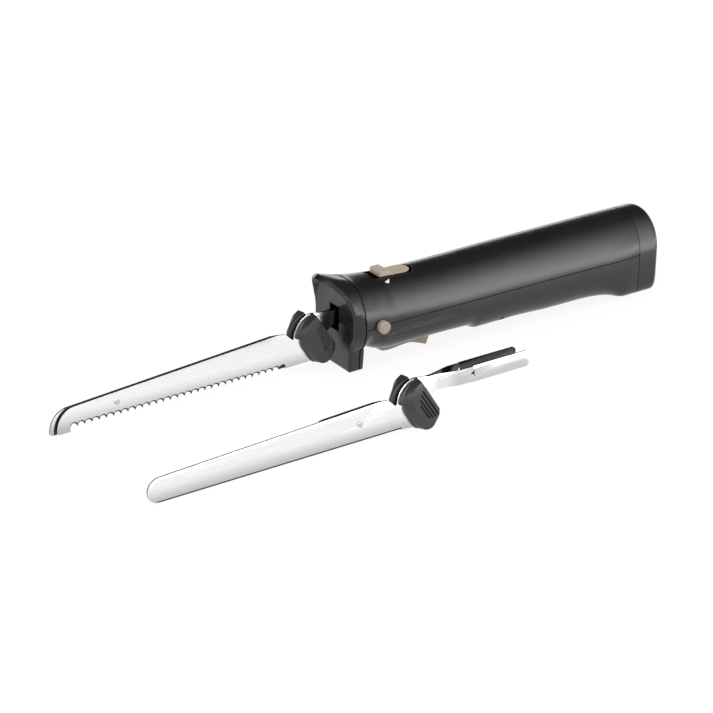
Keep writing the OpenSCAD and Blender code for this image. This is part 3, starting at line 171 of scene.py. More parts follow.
def add_node(tree, kind, **values):
    made = tree.nodes.new(kind)
    for key, value in values.items():
        if key in made.inputs:
            made.inputs[key].default_value = value
        else:
            setattr(made, key, value)
    return made


def noise(tree, coords, scale, detail=3.0, rough=0.5):
    made = add_node(tree, "ShaderNodeTexNoise", Scale=scale, Detail=detail, Roughness=rough)
    tree.links.new(coords, made.inputs["Vector"])
    return made.outputs["Fac"]


def feed(tree, socket, value):
    """Links an output to a socket, or sets the socket's own number or colour."""
    if isinstance(value, bpy.types.NodeSocket):
        tree.links.new(value, socket)
    elif isinstance(value, tuple):
        socket.default_value = (*value, 1)
    else:
        socket.default_value = value


def calc(tree, operation, *values):
    made = add_node(tree, "ShaderNodeMath", operation=operation)
    for socket, value in zip(made.inputs, values):
        feed(tree, socket, value)
    return made.outputs[0]


def blend(tree, share, low, high, kind="RGBA"):
    """Mix of two colours or, with the kind FLOAT, of two numbers."""
    made = add_node(tree, "ShaderNodeMix", data_type=kind)
    for key, value in (("Factor", share), ("A", low), ("B", high)):
        feed(tree, made.inputs[key], value)
    return made.outputs["Result"]


def step_between(tree, value, low, high):
    """Rises smoothly from 0 at low to 1 at high."""
    made = add_node(tree, "ShaderNodeMapRange", interpolation_type="SMOOTHSTEP")
    for key, number in (("Value", value), ("From Min", low), ("From Max", high)):
        feed(tree, made.inputs[key], number)
    return made.outputs["Result"]


def part(tree, vector, axis):
    made = tree.nodes.new("ShaderNodeSeparateXYZ")
    tree.links.new(vector, made.inputs[0])
    return made.outputs[axis]


def ramp(tree, fac, stops):
    made = tree.nodes.new("ShaderNodeValToRGB")
    band = made.color_ramp
    while len(band.elements) < len(stops):
        band.elements.new(0.5)
    for element, (at, rgb) in zip(band.elements, stops):
        element.position = at
        element.color = (*rgb, 1)
    tree.links.new(fac, made.inputs["Fac"])
    return made.outputs["Color"]


def bump(tree, height, strength, distance):
    made = add_node(tree, "ShaderNodeBump", Strength=strength, Distance=distance)
    tree.links.new(height, made.inputs["Height"])
    return made.outputs["Normal"]


def object_coords(tree, scale=(1, 1, 1)):
    coords = tree.nodes.new("ShaderNodeTexCoord")
    mapping = tree.nodes.new("ShaderNodeMapping")
    mapping.inputs["Scale"].default_value = scale
    tree.links.new(coords.outputs["Object"], mapping.inputs["Vector"])
    return mapping.outputs["Vector"]


def grey(value):
    return (value, value, value)


def plastic(name, dark, light, rough, rough_spread, grain, grain_depth, specular=0.5):
    """Moulded plastic: a slight mottle in its colour, uneven gloss and a fine spark-eroded grain."""
    mat, tree, bsdf = new_material(name)
    coords = object_coords(tree)
    mottle = noise(tree, coords, 60.0, 4.0)
    tree.links.new(ramp(tree, mottle, [(0.3, dark), (0.7, light)]), bsdf.inputs["Base Color"])
    low, high = grey(rough - rough_spread), grey(rough + rough_spread)
    gloss = ramp(tree, noise(tree, coords, 180.0), [(0.3, low), (0.7, high)])
    tree.links.new(gloss, bsdf.inputs["Roughness"])
    bsdf.inputs["Specular IOR Level"].default_value = specular
    fine = noise(tree, coords, grain, 2.0, 0.6)
    tree.links.new(bump(tree, fine, 0.25, grain_depth), bsdf.inputs["Normal"])
    return mat


def metal(name, colour, rough, stretch=(1, 1, 1), streak=400.0, depth=0.00002, spread=0.06):
    """Metal with fine streaks along one direction in its gloss and its surface."""
    mat, tree, bsdf = new_material(name)
    coords = object_coords(tree, stretch)
    lines = noise(tree, coords, streak, 4.0, 0.65)
    dull = tuple(c * 0.9 for c in colour)
    tree.links.new(ramp(tree, lines, [(0.3, dull), (0.7, colour)]), bsdf.inputs["Base Color"])
    gloss = ramp(tree, lines, [(0.3, grey(rough - spread)), (0.7, grey(rough + spread))])
    tree.links.new(gloss, bsdf.inputs["Roughness"])
    bsdf.inputs["Metallic"].default_value = 1.0
    tree.links.new(bump(tree, lines, 0.15, depth), bsdf.inputs["Normal"])
    return mat


# Centre of the left blade's nose and radii a little outside it, in metres
NOSE_AT = (-0.1952, 0.0065)
NOSE_R = (0.0151, 0.0168)
# Steel colours of painted shade: on the face under the other blade, and on the edges
SHADED_STEEL = (0.05, 0.05, 0.047)
EDGE_SHADE_STEEL = (0.02, 0.02, 0.021)


def blade_metal(name, inner):
    """Polished steel, greyed toward the teeth by painted shade. Painted shade darkens its sheared and
    ground edges, and the face that looks at the other blade of the pair, to the side where inner points."""
    mat, tree, bsdf = new_material(name)
    lines = noise(tree, object_coords(tree, (1, 30, 30)), 60.0, 4.0, 0.65)
    places = tree.nodes.new("ShaderNodeTexCoord").outputs
    x, z = (part(tree, places["Object"], axis) for axis in "XZ")
    height = step_between(tree, part(tree, places["Generated"], "Z"), 0.02, 0.4)
    across = part(tree, tree.nodes.new("ShaderNodeNewGeometry").outputs["True Normal"], "Y")
    streaks = blend(tree, step_between(tree, lines, 0.3, 0.7), (0.88, 0.885, 0.895), (0.97, 0.972, 0.975))
    # Painted shade greys the lower part of the face toward the teeth
    face = blend(tree, height, (0.5, 0.505, 0.52), streaks)
    # Painted shade on the edges, the faces that don't look sideways
    bare = blend(tree, step_between(tree, calc(tree, "ABSOLUTE", across), 0.9, 0.99), EDGE_SHADE_STEEL, face)
    if inner > 0:
        painted_shade_zone = step_between(tree, x, -0.006, -0.003)
    else:
        # The other blade's nose hides all of the face but a rim ahead of it. Painted shade covers the
        # hidden part and a thin band past the nose's outline.
        ahead = calc(tree, "MINIMUM", calc(tree, "SUBTRACT", x, NOSE_AT[0]), 0)
        u = calc(tree, "DIVIDE", ahead, NOSE_R[0])
        v = calc(tree, "DIVIDE", calc(tree, "SUBTRACT", z, NOSE_AT[1]), NOSE_R[1])
        away = calc(tree, "ADD", calc(tree, "MULTIPLY", u, u), calc(tree, "MULTIPLY", v, v))
        behind = step_between(tree, x, -0.196, -0.1954)
        painted_shade_zone = calc(tree, "MAXIMUM", step_between(tree, away, 1.08, 1.0), behind)
    # Painted shade on the face toward the other blade, inside its zone
    turned = step_between(tree, calc(tree, "MULTIPLY", across, inner), 0.3, 0.6)
    steel = blend(tree, calc(tree, "MULTIPLY", turned, painted_shade_zone), bare, SHADED_STEEL)
    if name.endswith("spare"):
        # Painted shade: the bare tangs are darker than the blades, toning down the bright floor they
        # reflect
        steel = blend(tree, step_between(tree, x, 0.012, 0.022), steel, (0.6, 0.605, 0.61))
    if name == "blade_steel":
        # Painted shade on the neck between the guard's cheeks, where it sees only dark plastic
        ends = step_between(tree, x, -0.016, -0.008), step_between(tree, x, 0.0095, 0.0075)
        steel = blend(tree, calc(tree, "MULTIPLY", *ends), steel, (0.1, 0.1, 0.102))
    tree.links.new(steel, bsdf.inputs["Base Color"])
    gloss = ramp(tree, lines, [(0.3, grey(0.16)), (0.7, grey(0.26))])
    tree.links.new(gloss, bsdf.inputs["Roughness"])
    bsdf.inputs["Metallic"].default_value = 1.0
    tree.links.new(bump(tree, lines, 0.1, 0.00001), bsdf.inputs["Normal"])
    return mat


def print_ink(name, colour):
    mat, tree, bsdf = new_material(name)
    coords = object_coords(tree)
    worn = noise(tree, coords, 900.0, 3.0)
    faded = tuple(c * 0.86 for c in colour)
    tree.links.new(ramp(tree, worn, [(0.35, faded), (0.6, colour)]), bsdf.inputs["Base Color"])
    bsdf.inputs["Roughness"].default_value = 0.55
    return mat


# Plastics: dark and light shade, roughness and its spread, scale of the grain and its depth in metres
PLASTICS = {
    "housing": ("housing_plastic", grey(0.009), grey(0.012), 0.26, 0.02, 2600.0, 0.000015),
    "grip_plastic": (
        "grip_plastic", (0.026, 0.025, 0.027), (0.032, 0.031, 0.033), 0.36, 0.03, 2200.0, 0.00004),
    "control_plastic": (
        "control_plastic", (0.4, 0.335, 0.255), (0.45, 0.375, 0.29), 0.45, 0.04, 1800.0, 0.00006),
    "frame_plastic": (
        "frame_plastic", (0.4, 0.42, 0.39), (0.47, 0.49, 0.46), 0.5, 0.05, 1500.0, 0.00008),
    "carrier_plastic": (
        "carrier_plastic", (0.66, 0.66, 0.62), (0.73, 0.73, 0.69), 0.4, 0.04, 1500.0, 0.00005),
    "gear_plastic": (
        "gear_plastic", (0.74, 0.7, 0.56), (0.8, 0.76, 0.62), 0.38, 0.04, 1500.0, 0.00005),
    "motor_plastic": ("motor_plastic", grey(0.035), grey(0.045), 0.35, 0.03, 1500.0, 0.00004),
    "switch_plastic": ("switch_plastic", grey(0.028), grey(0.034), 0.3, 0.03, 1500.0, 0.00004),
    "plunger_plastic": (
        "plunger_plastic", (0.5, 0.06, 0.045), (0.56, 0.08, 0.06), 0.35, 0.03, 1500.0, 0.00004),
    "cell_wrap": ("cell_wrap", (0.04, 0.14, 0.32), (0.055, 0.17, 0.38), 0.28, 0.03, 800.0, 0.00003),
    "holder_plastic": ("holder_plastic", grey(0.07), grey(0.085), 0.5, 0.04, 1500.0, 0.00006),
    "board": ("board_mask", (0.015, 0.12, 0.05), (0.02, 0.15, 0.065), 0.3, 0.05, 900.0, 0.00003),
    "socket_plastic": ("socket_plastic", grey(0.02), grey(0.025), 0.3, 0.03, 1500.0, 0.00004),
    "wire_insulation": (
        "wire_insulation", (0.33, 0.02, 0.015), (0.38, 0.03, 0.02), 0.4, 0.04, 1500.0, 0.00004),
}
# Metals: colour, roughness, stretch of the streaks and their scale
METALS = {
    "fastener_steel": ((0.6, 0.61, 0.63), 0.3, (1, 1, 1), 500.0),
    "spring_steel": ((0.62, 0.63, 0.65), 0.25, (1, 1, 1), 500.0),
    "shaft_steel": ((0.66, 0.67, 0.69), 0.22, (12, 1, 12), 300.0),
    "bush_bronze": ((0.62, 0.42, 0.18), 0.35, (1, 1, 1), 700.0),
    "motor_steel": ((0.5, 0.51, 0.53), 0.32, (1, 20, 20), 80.0),
    "rotor_metal": ((0.5, 0.28, 0.16), 0.4, (30, 1, 1), 120.0),
    "nickel_strip": ((0.62, 0.6, 0.55), 0.28, (1, 20, 1), 200.0),
}
MATERIALS = {slot: plastic(*values) for slot, values in PLASTICS.items()}
MATERIALS.update({slot: metal(slot, *values) for slot, values in METALS.items()})
MATERIALS["blade_steel"] = blade_metal("blade_steel", 1)
STEEL_RIGHT = blade_metal("blade_steel_right", -1)
STEEL_SPARE = blade_metal("blade_steel_spare", 1)
# Near-black material for sheets of painted shade in gaps, grooves and pits
PAINTED_SHADE = plastic("painted_shade_dark", grey(0.002), grey(0.003), 0.7, 0.02, 2000.0, 0.00002, 0.1)
INK = print_ink("print_white", grey(0.85))


# Meshes

def make_object(name, bm, smooth_angle=35):
    """Closes off a mesh drawn in millimetres: metres, outward faces, smooth shading up to an angle."""
    bmesh.ops.scale(bm, vec=(MM, MM, MM), verts=bm.verts)
    bmesh.ops.recalc_face_normals(bm, faces=bm.faces)
    mesh = bpy.data.meshes.new(name)
    bm.to_mesh(mesh)
    bm.free()
    obj = bpy.data.objects.new(name, mesh)
    bpy.context.scene.collection.objects.link(obj)
    shade(obj, smooth_angle)
    return obj


def shade(obj, angle):
    mesh = obj.data
    mesh.shade_smooth()
    mesh.set_sharp_from_angle(angle=math.radians(angle))


def apply_modifiers(obj, angle=35):
    """Replaces the mesh by what its modifiers make of it."""
    bpy.context.view_layer.update()
    done = bpy.data.meshes.new_from_object(obj.evaluated_get(bpy.context.evaluated_depsgraph_get()))
    obj.modifiers.clear()
    obj.data = done
    shade(obj, angle)


def add_bevel(obj, width, segments=3, angle=30):
    made = obj.modifiers.new("edge_rounding", "BEVEL")
    made.width = width * MM
    made.segments = segments
    made.limit_method = "ANGLE"
    made.angle_limit = math.radians(angle)
    made.use_clamp_overlap = True
    made.harden_normals = False


def combine(obj, operation, others):
    """Cuts the other shapes out of the object, or joins them to it, and removes them."""
    for other in others:
        made = obj.modifiers.new("solids", "BOOLEAN")
        made.operation = operation
        made.solver = "EXACT"
        made.object = other
    apply_modifiers(obj)
    for other in others:
        bpy.data.objects.remove(other)


def cut(obj, *cutters):
    combine(obj, "DIFFERENCE", cutters)


def join_solids(obj, *others):
    combine(obj, "UNION", others)


def strip(bm, a, b):
    """Faces between two rows of vertices, all the way round."""
    for j in range(len(a)):
        k = (j + 1) % len(a)
        bm.faces.new((a[j], a[k], b[k], b[j]))


def loft(bm, rings, caps=True):
    """Skin over rings of equal length, each a closed loop."""
    rows = [[bm.verts.new(p) for p in ring] for ring in rings]
    for a, b in zip(rows, rows[1:]):
        strip(bm, a, b)
    if caps:
        bm.faces.new(rows[0])
        bm.faces.new(list(reversed(rows[-1])))
    return rows


def closed_band(bm, rings):
    """Closed hollow band over rings that come back to the first one."""
    rows = loft(bm, rings, caps=False)
    strip(bm, rows[-1], rows[0])


def prism(name, outline, low, high, axis):
    """Solid over a closed outline, from low to high along an axis. The outline gives the other two."""
    place = {
        "x": lambda p, h: (h, p[0], p[1]),
        "y": lambda p, h: (p[0], h, p[1]),
        "z": lambda p, h: (p[0], p[1], h),
    }[axis]
    bm = bmesh.new()
    loft(bm, [[place(p, low) for p in outline], [place(p, high) for p in outline]])
    return make_object(name, bm)


def circle(cx, cy, r, steps=48):
    return [
        (cx + r * math.cos(2 * math.pi * k / steps), cy + r * math.sin(2 * math.pi * k / steps))
        for k in range(steps)
    ]


def lathe(name, profile, centre, side, steps=64):
    """Solid of revolution that points to the left, side 1, or right, -1. Profile of radius and height."""
    place = Matrix.Translation(centre) @ Matrix.Rotation(side * math.pi / 2, 4, "X")
    bm = bmesh.new()
    rings = [[place @ Vector((*p, h)) for p in circle(0, 0, r, steps)] for r, h in profile]
    loft(bm, rings)
    return make_object(name, bm)


def dress(obj, body, slot, *replaced):
    """Finish, body and the CAD nodes that a piece stands for."""
    obj.data.materials.clear()
    obj.data.materials.append(MATERIALS[slot])
    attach(obj, body)
    if replaced:
        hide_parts(*replaced)
    return obj


# Curves

def smooth_columns(table, xs):
    """Values of the table's columns at xs, on monotone cubic curves through its rows."""
    t = np.array(table, float)
    x0, y0 = t[:, 0], t[:, 1:]
    h = np.diff(x0)
    d = np.diff(y0, axis=0) / h[:, None]
    m = np.zeros_like(y0)
    for i in range(1, len(x0) - 1):
        same = d[i - 1] * d[i] > 0
        w1 = 2 * h[i] + h[i - 1]
        w2 = h[i] + 2 * h[i - 1]
        with np.errstate(divide="ignore", invalid="ignore"):
            mean = (w1 + w2) / (w1 / d[i - 1] + w2 / d[i])
        m[i] = np.where(same, mean, 0)
    m[0], m[-1] = d[0], d[-1]
    out = []
    for x in xs:
        i = int(min(max(np.searchsorted(x0, x) - 1, 0), len(h) - 1))
        u = (x - x0[i]) / h[i]
        a = (1 + 2 * u) * (1 - u) ** 2
        b = u * (1 - u) ** 2 * h[i]
        c = u * u * (3 - 2 * u)
        e = u * u * (u - 1) * h[i]
        out.append(a * y0[i] + b * m[i] + c * y0[i + 1] + e * m[i + 1])
    return out


def curve_through(points, steps, closed=False):
    """Catmull-Rom curve through points, with steps pieces between two of them."""
    pts = [np.array(p, float) for p in points]
    n = len(pts)
    out = []
    for i in range(n if closed else n - 1):
        p1, p2 = pts[i], pts[(i + 1) % n]
        p0 = pts[i - 1] if closed or i > 0 else 2 * p1 - p2
        p3 = pts[(i + 2) % n] if closed or i + 2 < n else 2 * p2 - p1
        for k in range(steps):
            u = k / steps
            out.append(0.5 * (
                2 * p1 + (p2 - p0) * u + (2 * p0 - 5 * p1 + 4 * p2 - p3) * u * u
                + (3 * p1 - p0 - 3 * p2 + p3) * u ** 3
            ))
    if not closed:
        out.append(pts[-1])
    return out


# Handle

def section_at(x):
    """Half-width, rise, its exponent, drop and its exponent of the handle at x, in millimetres."""
    share = min(max((x - GUARD_DEPTH) / SHELL_LEN, 0), 1)
    w, rise, nt, drop, nb = smooth_columns(STATION_SHARES, [share])[0]
    return w * HALF_W, rise * RISE, nt, drop * SEAM_Z, nb


def skin_z(x, y):
    """Height of the upper shell's skin."""
    w, rise, nt = section_at(x)[:3]
    return SEAM_Z + rise * (1 - (abs(y) / w) ** nt) ** (1 / nt)


def arc_point(w, h, n, a):
    c, s = math.cos(a), math.sin(a)
    y = math.copysign(abs(c) ** (2 / n), c) * w
    return y, h * max(s, 0) ** (2 / n)


# Crease along the lower shell's flank: height of its line along the handle, how far its ridge stands
# out and the flank below draws in, how wide the two are, and where it fades toward the rear
CREASE_LINE = [(8, 8.5), (13.8, 16.2), (20.4, 21.6), (27.2, 24.7), (37.3, 25.2), (150, 25.0), (247, 27.5)]
CREASE_LIFT = 0.3
CREASE_DROP = 0.4
RIDGE_W = 1.5
FALL_W = 1.1
CREASE_END = 112
CREASE_FADE = 45
# Off the middle of the handle it begins here and is whole after this much more
CREASE_Y = 9
CREASE_GROWS = 8


def crease(x, y, z):
    """Lifts the lower shell's flank to a ridge along the crease and draws it in below."""
    above = z - smooth_columns(CREASE_LINE, [x])[0][0]
    if above >= 0:
        offset = CREASE_LIFT * max(0, 1 - above / RIDGE_W)
    else:
        offset = CREASE_LIFT - (CREASE_LIFT + CREASE_DROP) * min(-above / FALL_W, 1)
    offset *= min(max((abs(y) - CREASE_Y) / CREASE_GROWS, 0), 1)
    offset *= min(max((CREASE_END - x) / CREASE_FADE, 0), 1)
    return y + math.copysign(offset, y), z


def half_section(x, side, inset_out, steps=170):
    """Closed C-shaped ring of a half shell at x: outer arc, then inner arc back."""
    w, rise, nt, drop, nb = section_at(x)
    h, n = (rise, nt) if side > 0 else (drop, nb)
    w, h = w - inset_out, h - inset_out
    a0 = math.asin((SEAM_CUT / h) ** (n / 2))
    outer = [(w - SEAM_CUT, 0.0)]
    outer += [arc_point(w, h, n, a0 + (math.pi - 2 * a0) * k / steps) for k in range(steps + 1)]
    outer.append((-w + SEAM_CUT, 0.0))
    thin = WALL - inset_out
    inner = [
        arc_point(w - thin, h - thin, n, math.pi * (1 - k / (len(outer) - 1))) for k in range(len(outer))
    ]
    ring = [(x, y, SEAM_Z + side * z) for y, z in outer + inner]
    if side < 0:
        m = len(outer)
        ring = [(x, *crease(*p)) if k < m else p for k, p in enumerate(ring)]
    return ring


# Joint to the guard: distance behind it and how far the skin draws in there
JOINT_STEPS = ((0, JOINT_CUT), (0.4, JOINT_CUT), (0.62, 0.12), (0.8, 0))
# Sections stand close together up to here, along the crease's bend, and wider behind it
FINE_END = 50
FINE_PITCH = 0.8
WIDE_SECTIONS = 130


def half_shell(name, side):
    joint = [(GUARD_DEPTH + d, inset) for d, inset in JOINT_STEPS]
    middle = list(np.arange(GUARD_DEPTH + 1.5, FINE_END, FINE_PITCH))
    middle += list(np.linspace(FINE_END, CAP_X - 1, WIDE_SECTIONS))
    places = joint + [(x, 0) for x in middle] + [(CAP_X - SEAM_CUT, 0), (CAP_X, SEAM_CUT)]
    bm = bmesh.new()
    rings = [half_section(x, side, inset) for x, inset in places]
    rows = loft(bm, rings, caps=False)
    m = len(rows[0]) // 2
    for row in (rows[0], rows[-1]):
        for k in range(m - 1):
            bm.faces.new((row[k], row[k + 1], row[2 * m - 2 - k], row[2 * m - 1 - k]))
    return make_object(name, bm)


def slider_plan(x0, x1, half_w, front_r):
    """Plan of the slider or its slot: round at the rear, small corners in front."""
    rear = [
        (x1 - half_w + half_w * math.cos(a), half_w * math.sin(a))
        for a in np.linspace(-math.pi / 2, math.pi / 2, 25)
    ]
    front = [
        (x0 + front_r - front_r * math.sin(a), s * (half_w - front_r + front_r * math.cos(a)))
        for s, span in ((1, np.linspace(0, math.pi / 2, 7)), (-1, np.linspace(math.pi / 2, 0, 7)))
        for a in span
    ]
    return rear + front


BUTTON_X = 22.0
BUTTON_R = 4.4
CTL_GAP = 0.5
# Height of the ledge under the slider
SEAT_Z = 52.8
# Plans of the slider's slot, of the lip round it and of the sleeve of painted shade round the slider
SLOT_PLAN = (27.5, 62.0, 7.5, 1.5)
LIP_PLAN = (27.3, 62.2, 7.7, 1.7)
SHADE_SLEEVE_PLANS = ((31.98, 59.52, 6.52, 0.6), (31.9, 59.6, 6.6, 0.6))
SHADE_SLEEVE_Z = 53.5


def button_cutter():
    return prism("cutter", circle(BUTTON_X, SEAM_Z, BUTTON_R + CTL_GAP, 64), -40, 40, "y")


def make_top_shell():
    shell = half_shell("top_shell_skin", 1)
    cut(shell, prism("cutter", slider_plan(*SLOT_PLAN), SEAT_Z, 70, "z"), button_cutter())
    return dress(shell, "handle", "housing", "top_shell")


def foot_outline():
    rows = [(r[0] * GUARD_HALF_W, r[1] * GUARD_H) for r in RIM_SHARES[:FOOT_ROWS]]
    return rows + [(-y, z) for y, z in reversed(rows)]


# Place of each pair of shell screws, and how far it stands off the middle where the shell doesn't set it
SHELL_SCREWS = [(37.5, 16.0), (127.62, None), (235.88, None)]
SCREW_HEAD_R = 2.3
HEAD_HOLE_R = 2.5
# Well under the trigger: ends, half-width and top
TRIGGER_WELL = (27.4, 73.2, 9.6, 12)
# Arch of the shell inside the foot: half-width, depth and exponent
FOOT_ARCH = (24.6, 24.8, 1.9)


def make_bottom_shell():
    shell = half_shell("bottom_shell_skin", -1)
    foot = prism("foot_strip", foot_outline(), GUARD_DEPTH + SEAM_CUT, GUARD_DEPTH + 3, "x")
    arch = [arc_point(*FOOT_ARCH, math.pi * k / 48) for k in range(49)]
    inside = prism("cutter", arch, GUARD_DEPTH - 1, GUARD_DEPTH + 4, "x")
    for v in inside.data.vertices:
        v.co.z = SEAM_Z * MM - v.co.z + 0.001 * MM
    cut(foot, inside)
    join_solids(shell, foot)
    x0, x1, half_w, top = TRIGGER_WELL
    trigger_gap = prism("cutter", [(-half_w, -5), (half_w, -5), (half_w, top), (-half_w, top)], x0, x1, "x")
    screws_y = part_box("shell_screws")[1].y / MM - SCREW_HEAD_R
    holes = [
        prism("cutter", circle(x, side * (y or screws_y), HEAD_HOLE_R, 32), -5, 16, "z")
        for x, y in SHELL_SCREWS for side in (-1, 1)
    ]
    cut(shell, trigger_gap, button_cutter(), *holes)
    return dress(shell, "handle", "housing", "bottom_shell")


def cap_ring(x, inset):
    w, rise, nt, drop, nb = section_at(CAP_X)
    w, rise, drop = w - inset, rise - inset, drop - inset
    steps = 72
    top = [arc_point(w, rise, nt, math.pi * k / steps) for k in range(steps)]
    low = [arc_point(w, drop, nb, math.pi * k / steps) for k in range(steps)]
    return [(x, y, SEAM_Z + z) for y, z in top] + [(x, -y, SEAM_Z - z) for y, z in low]


# Height and radius of the charging jack's hole; distance off the middle and height of the cap screws
JACK_Z = 20
JACK_R = 4.53
CAP_SCREW_AT = (14, 40)


def make_rear_cap():
    bm = bmesh.new()
    rings = [cap_ring(CAP_X, SEAM_CUT), cap_ring(CAP_X + SEAM_CUT, 0)]
    rings += [cap_ring(CAP_X + d, 0) for d in (3, 7, 11)]
    for k in range(13):
        a = math.pi / 2 * k / 12
        rings.append(cap_ring(BODY_END - CAP_ROUND * (1 - math.sin(a)), CAP_ROUND * (1 - math.cos(a))))
    loft(bm, rings)
    cap = make_object("rear_cap_skin", bm)
    bm = bmesh.new()
    loft(bm, [cap_ring(CAP_X - 1, WALL), cap_ring(BODY_END - WALL, WALL)])
    hollow = make_object("cutter", bm)
    y, z = CAP_SCREW_AT
    rounds = [circle(0, JACK_Z, JACK_R, 48)] + [circle(side * y, z, HEAD_HOLE_R, 32) for side in (-1, 1)]
    cut(cap, hollow, *[prism("cutter", outline, BODY_END - 4, BODY_END + 2, "x") for outline in rounds])
    return dress(cap, "handle", "housing", "rear_cap")


# Guard

def rim_curve(kind):
    """Smooth closed rim: kind 0 on the panel, 1 the front edge, 2 the outer edge, 3 at the shells."""
    side = []
    w, rise, nt, drop, nb = (v * k for v, k in zip(STATION_SHARES[0][1:], (HALF_W, RISE, 1, SEAM_Z, 1)))
    for k, r in enumerate(RIM_SHARES):
        if kind == 0:
            p = (0, r[6] * GUARD_HALF_W, r[7] * GUARD_H)
        elif kind == 1:
            p = (-r[5] * HOOD_LEN, r[3] * GUARD_HALF_W, r[4] * GUARD_H)
        elif kind == 2:
            p = (-r[2] * HOOD_LEN, r[0] * GUARD_HALF_W, r[1] * GUARD_H)
        elif k < FOOT_ROWS:
            p = (GUARD_DEPTH, r[0] * GUARD_HALF_W, r[1] * GUARD_H)
        else:
            a = math.radians(SEAM_ANGLES[k - FOOT_ROWS])
            up = a >= 0
            y, z = arc_point(w, rise if up else drop, nt if up else nb, abs(a))
            p = (GUARD_DEPTH, y, SEAM_Z + (z if up else -z))
        side.append(p)
    foot = side[:FOOT_ROWS]
    hood = side[FOOT_ROWS - 1:]
    whole = hood + [(p[0], -p[1], p[2]) for p in reversed(hood[:-1])]
    curve = [tuple(p) for p in curve_through(whole, 6)]
    left = [(p[0], -p[1], p[2]) for p in reversed(foot[:-1])]
    return foot[:-1] + curve + left


# Hollow behind the guard's panel, above and below the seam: half-width, height and exponent
HOLLOW_TOP = (23.6, 25.4, 2.5)
HOLLOW_LOW = (23.6, 23.8, 1.9)
# Slot for the blades: half-width, low and high edge
BLADE_SLOT = (5.6, 26, 44.3)


def make_guard():
    bm = bmesh.new()
    rings = [rim_curve(k) for k in range(4)]
    seam = rings[3]
    centre = SEAM_Z * 0.9

    def drawn_in(back, depth):
        ring = []
        for p in seam:
            d = Vector((p[1], p[2] - centre)).normalized() * depth
            ring.append((p[0] - back, p[1] - d.x, max(p[2] - d.y, 0)))
        return ring

    rings[3:] = [drawn_in(0.65, 0), drawn_in(0.5, 0.12), drawn_in(0.34, JOINT_CUT), drawn_in(0, JOINT_CUT)]
    loft(bm, rings)
    guard = make_object("guard_skin", bm)
    add_bevel(guard, 0.45, 3, 22)
    apply_modifiers(guard)
    halves = (HOLLOW_TOP, HOLLOW_LOW)
    top, low = ([arc_point(*half, math.pi * k / 40) for k in range(40)] for half in halves)
    outline = [(y, SEAM_Z + z) for y, z in top] + [(-y, SEAM_Z - z) for y, z in low]
    void = prism("cutter", outline, PANEL_T, GUARD_DEPTH + 1, "x")
    y, z0, z1 = BLADE_SLOT
    slot = prism("cutter", [(-y, z0), (y, z0), (y, z1), (-y, z1)], -14, PANEL_T + 1, "x")
    cut(guard, void, slot)
    return dress(guard, "handle", "housing", "front_guard")


# Grips

def grip_outline(kind, steps=6):
    """Outline of a grip in X and Z, round from its upper rear corner: kind 0 the flange, 1 the face."""
    pts = [
        (-GRIP_REAR - s[2 * kind] * GRIP_LEN, EDGE_Z + s[2 * kind + 1] * GRIP_H) for s in GRIP_SHARES
    ]
    rim = curve_through(pts[1:FLANGE_END + 1], steps)
    body = curve_through(pts[FLANGE_END + 1:], steps)
    outline = rim + [along(rim[-1], body[0], k / 4) for k in range(1, 4)] + body
    outline += [along(pts[-1], pts[0], k / 3) for k in range(1, 3)]
    outline += [along(pts[0], pts[1], k / 12) for k in range(12)]
    return [(x, max(z, EDGE_Z)) for x, z in outline]


def along(a, b, u):
    return a[0] + (b[0] - a[0]) * u, a[1] + (b[1] - a[1]) * u


def grip_solid(name):
    """Grip of a left blade in its own place: the flange on the steel, then the raised body."""
    low, high = grip_outline(0), grip_outline(1)
    step = GRIP_IN + FLANGE_T
    levels = [
        (GRIP_IN, 0), (step, 0), (step + 0.25, 0.27), (step + 2, 0.42), (GRIP_OUT - 2, 0.68),
        (GRIP_OUT - 0.8, 0.85), (GRIP_OUT, 1)
    ]
    bm = bmesh.new()
    loft(bm, [[(*along(p, q, u), y) for p, q in zip(low, high)] for y, u in levels])
    for v in bm.verts:
        v.co = (v.co.x, -v.co.z, v.co.y)
    grip = make_object(name, bm)
    add_bevel(grip, 0.3, 3, 35)
    apply_modifiers(grip)
    return grip


def share_point(a, b):
    return Vector((-GRIP_REAR - a * GRIP_LEN, EDGE_Z + b * GRIP_H))


def groove_plans():
    """Outlines of the grooves on a spare grip's outer face, with round ends."""
    plans = []
    for x0, z0, x1, z1 in GROOVE_SHARES:
        a, b = share_point(x0, z0), share_point(x1, z1)
        d = (b - a).normalized() * GROOVE_HALF_W
        n = Vector((-d.y, d.x))
        turns = [math.pi * (k / 8 - 0.5) for k in range(9)]
        plans.append([
            tuple(end + d * sign * math.cos(t) - n * sign * math.sin(t))
            for end, sign in ((b, 1), (a, -1)) for t in turns
        ])
    return plans


def pit_plans(rows=11, columns=6):
    """Round pits in a slanted field on a mounted grip's outer face."""
    first, last = share_point(0.6, 0.79), share_point(0.34, 0.25)
    across = (share_point(0.36, 0.86) - share_point(0.6, 0.79)) * 0.82
    plans = []
    for i in range(rows):
        for j in range(columns):
            if (i == 0 and j < 2) or (i == rows - 1 and j > 3):
                continue
            p = first.lerp(last, i / (rows - 1)) + across * (j / (columns - 1))
            plans.append(circle(p.x, p.y, PIT_R, 12))
    return plans


def to_right(obj):
    """The right half of a pair is the left one mirrored, at the far end of its stroke."""
    obj.data.transform(Matrix.Translation((-STROKE * MM, 0, 0)) @ Matrix.Diagonal((1, -1, 1, 1)))
    obj.data.flip_normals()


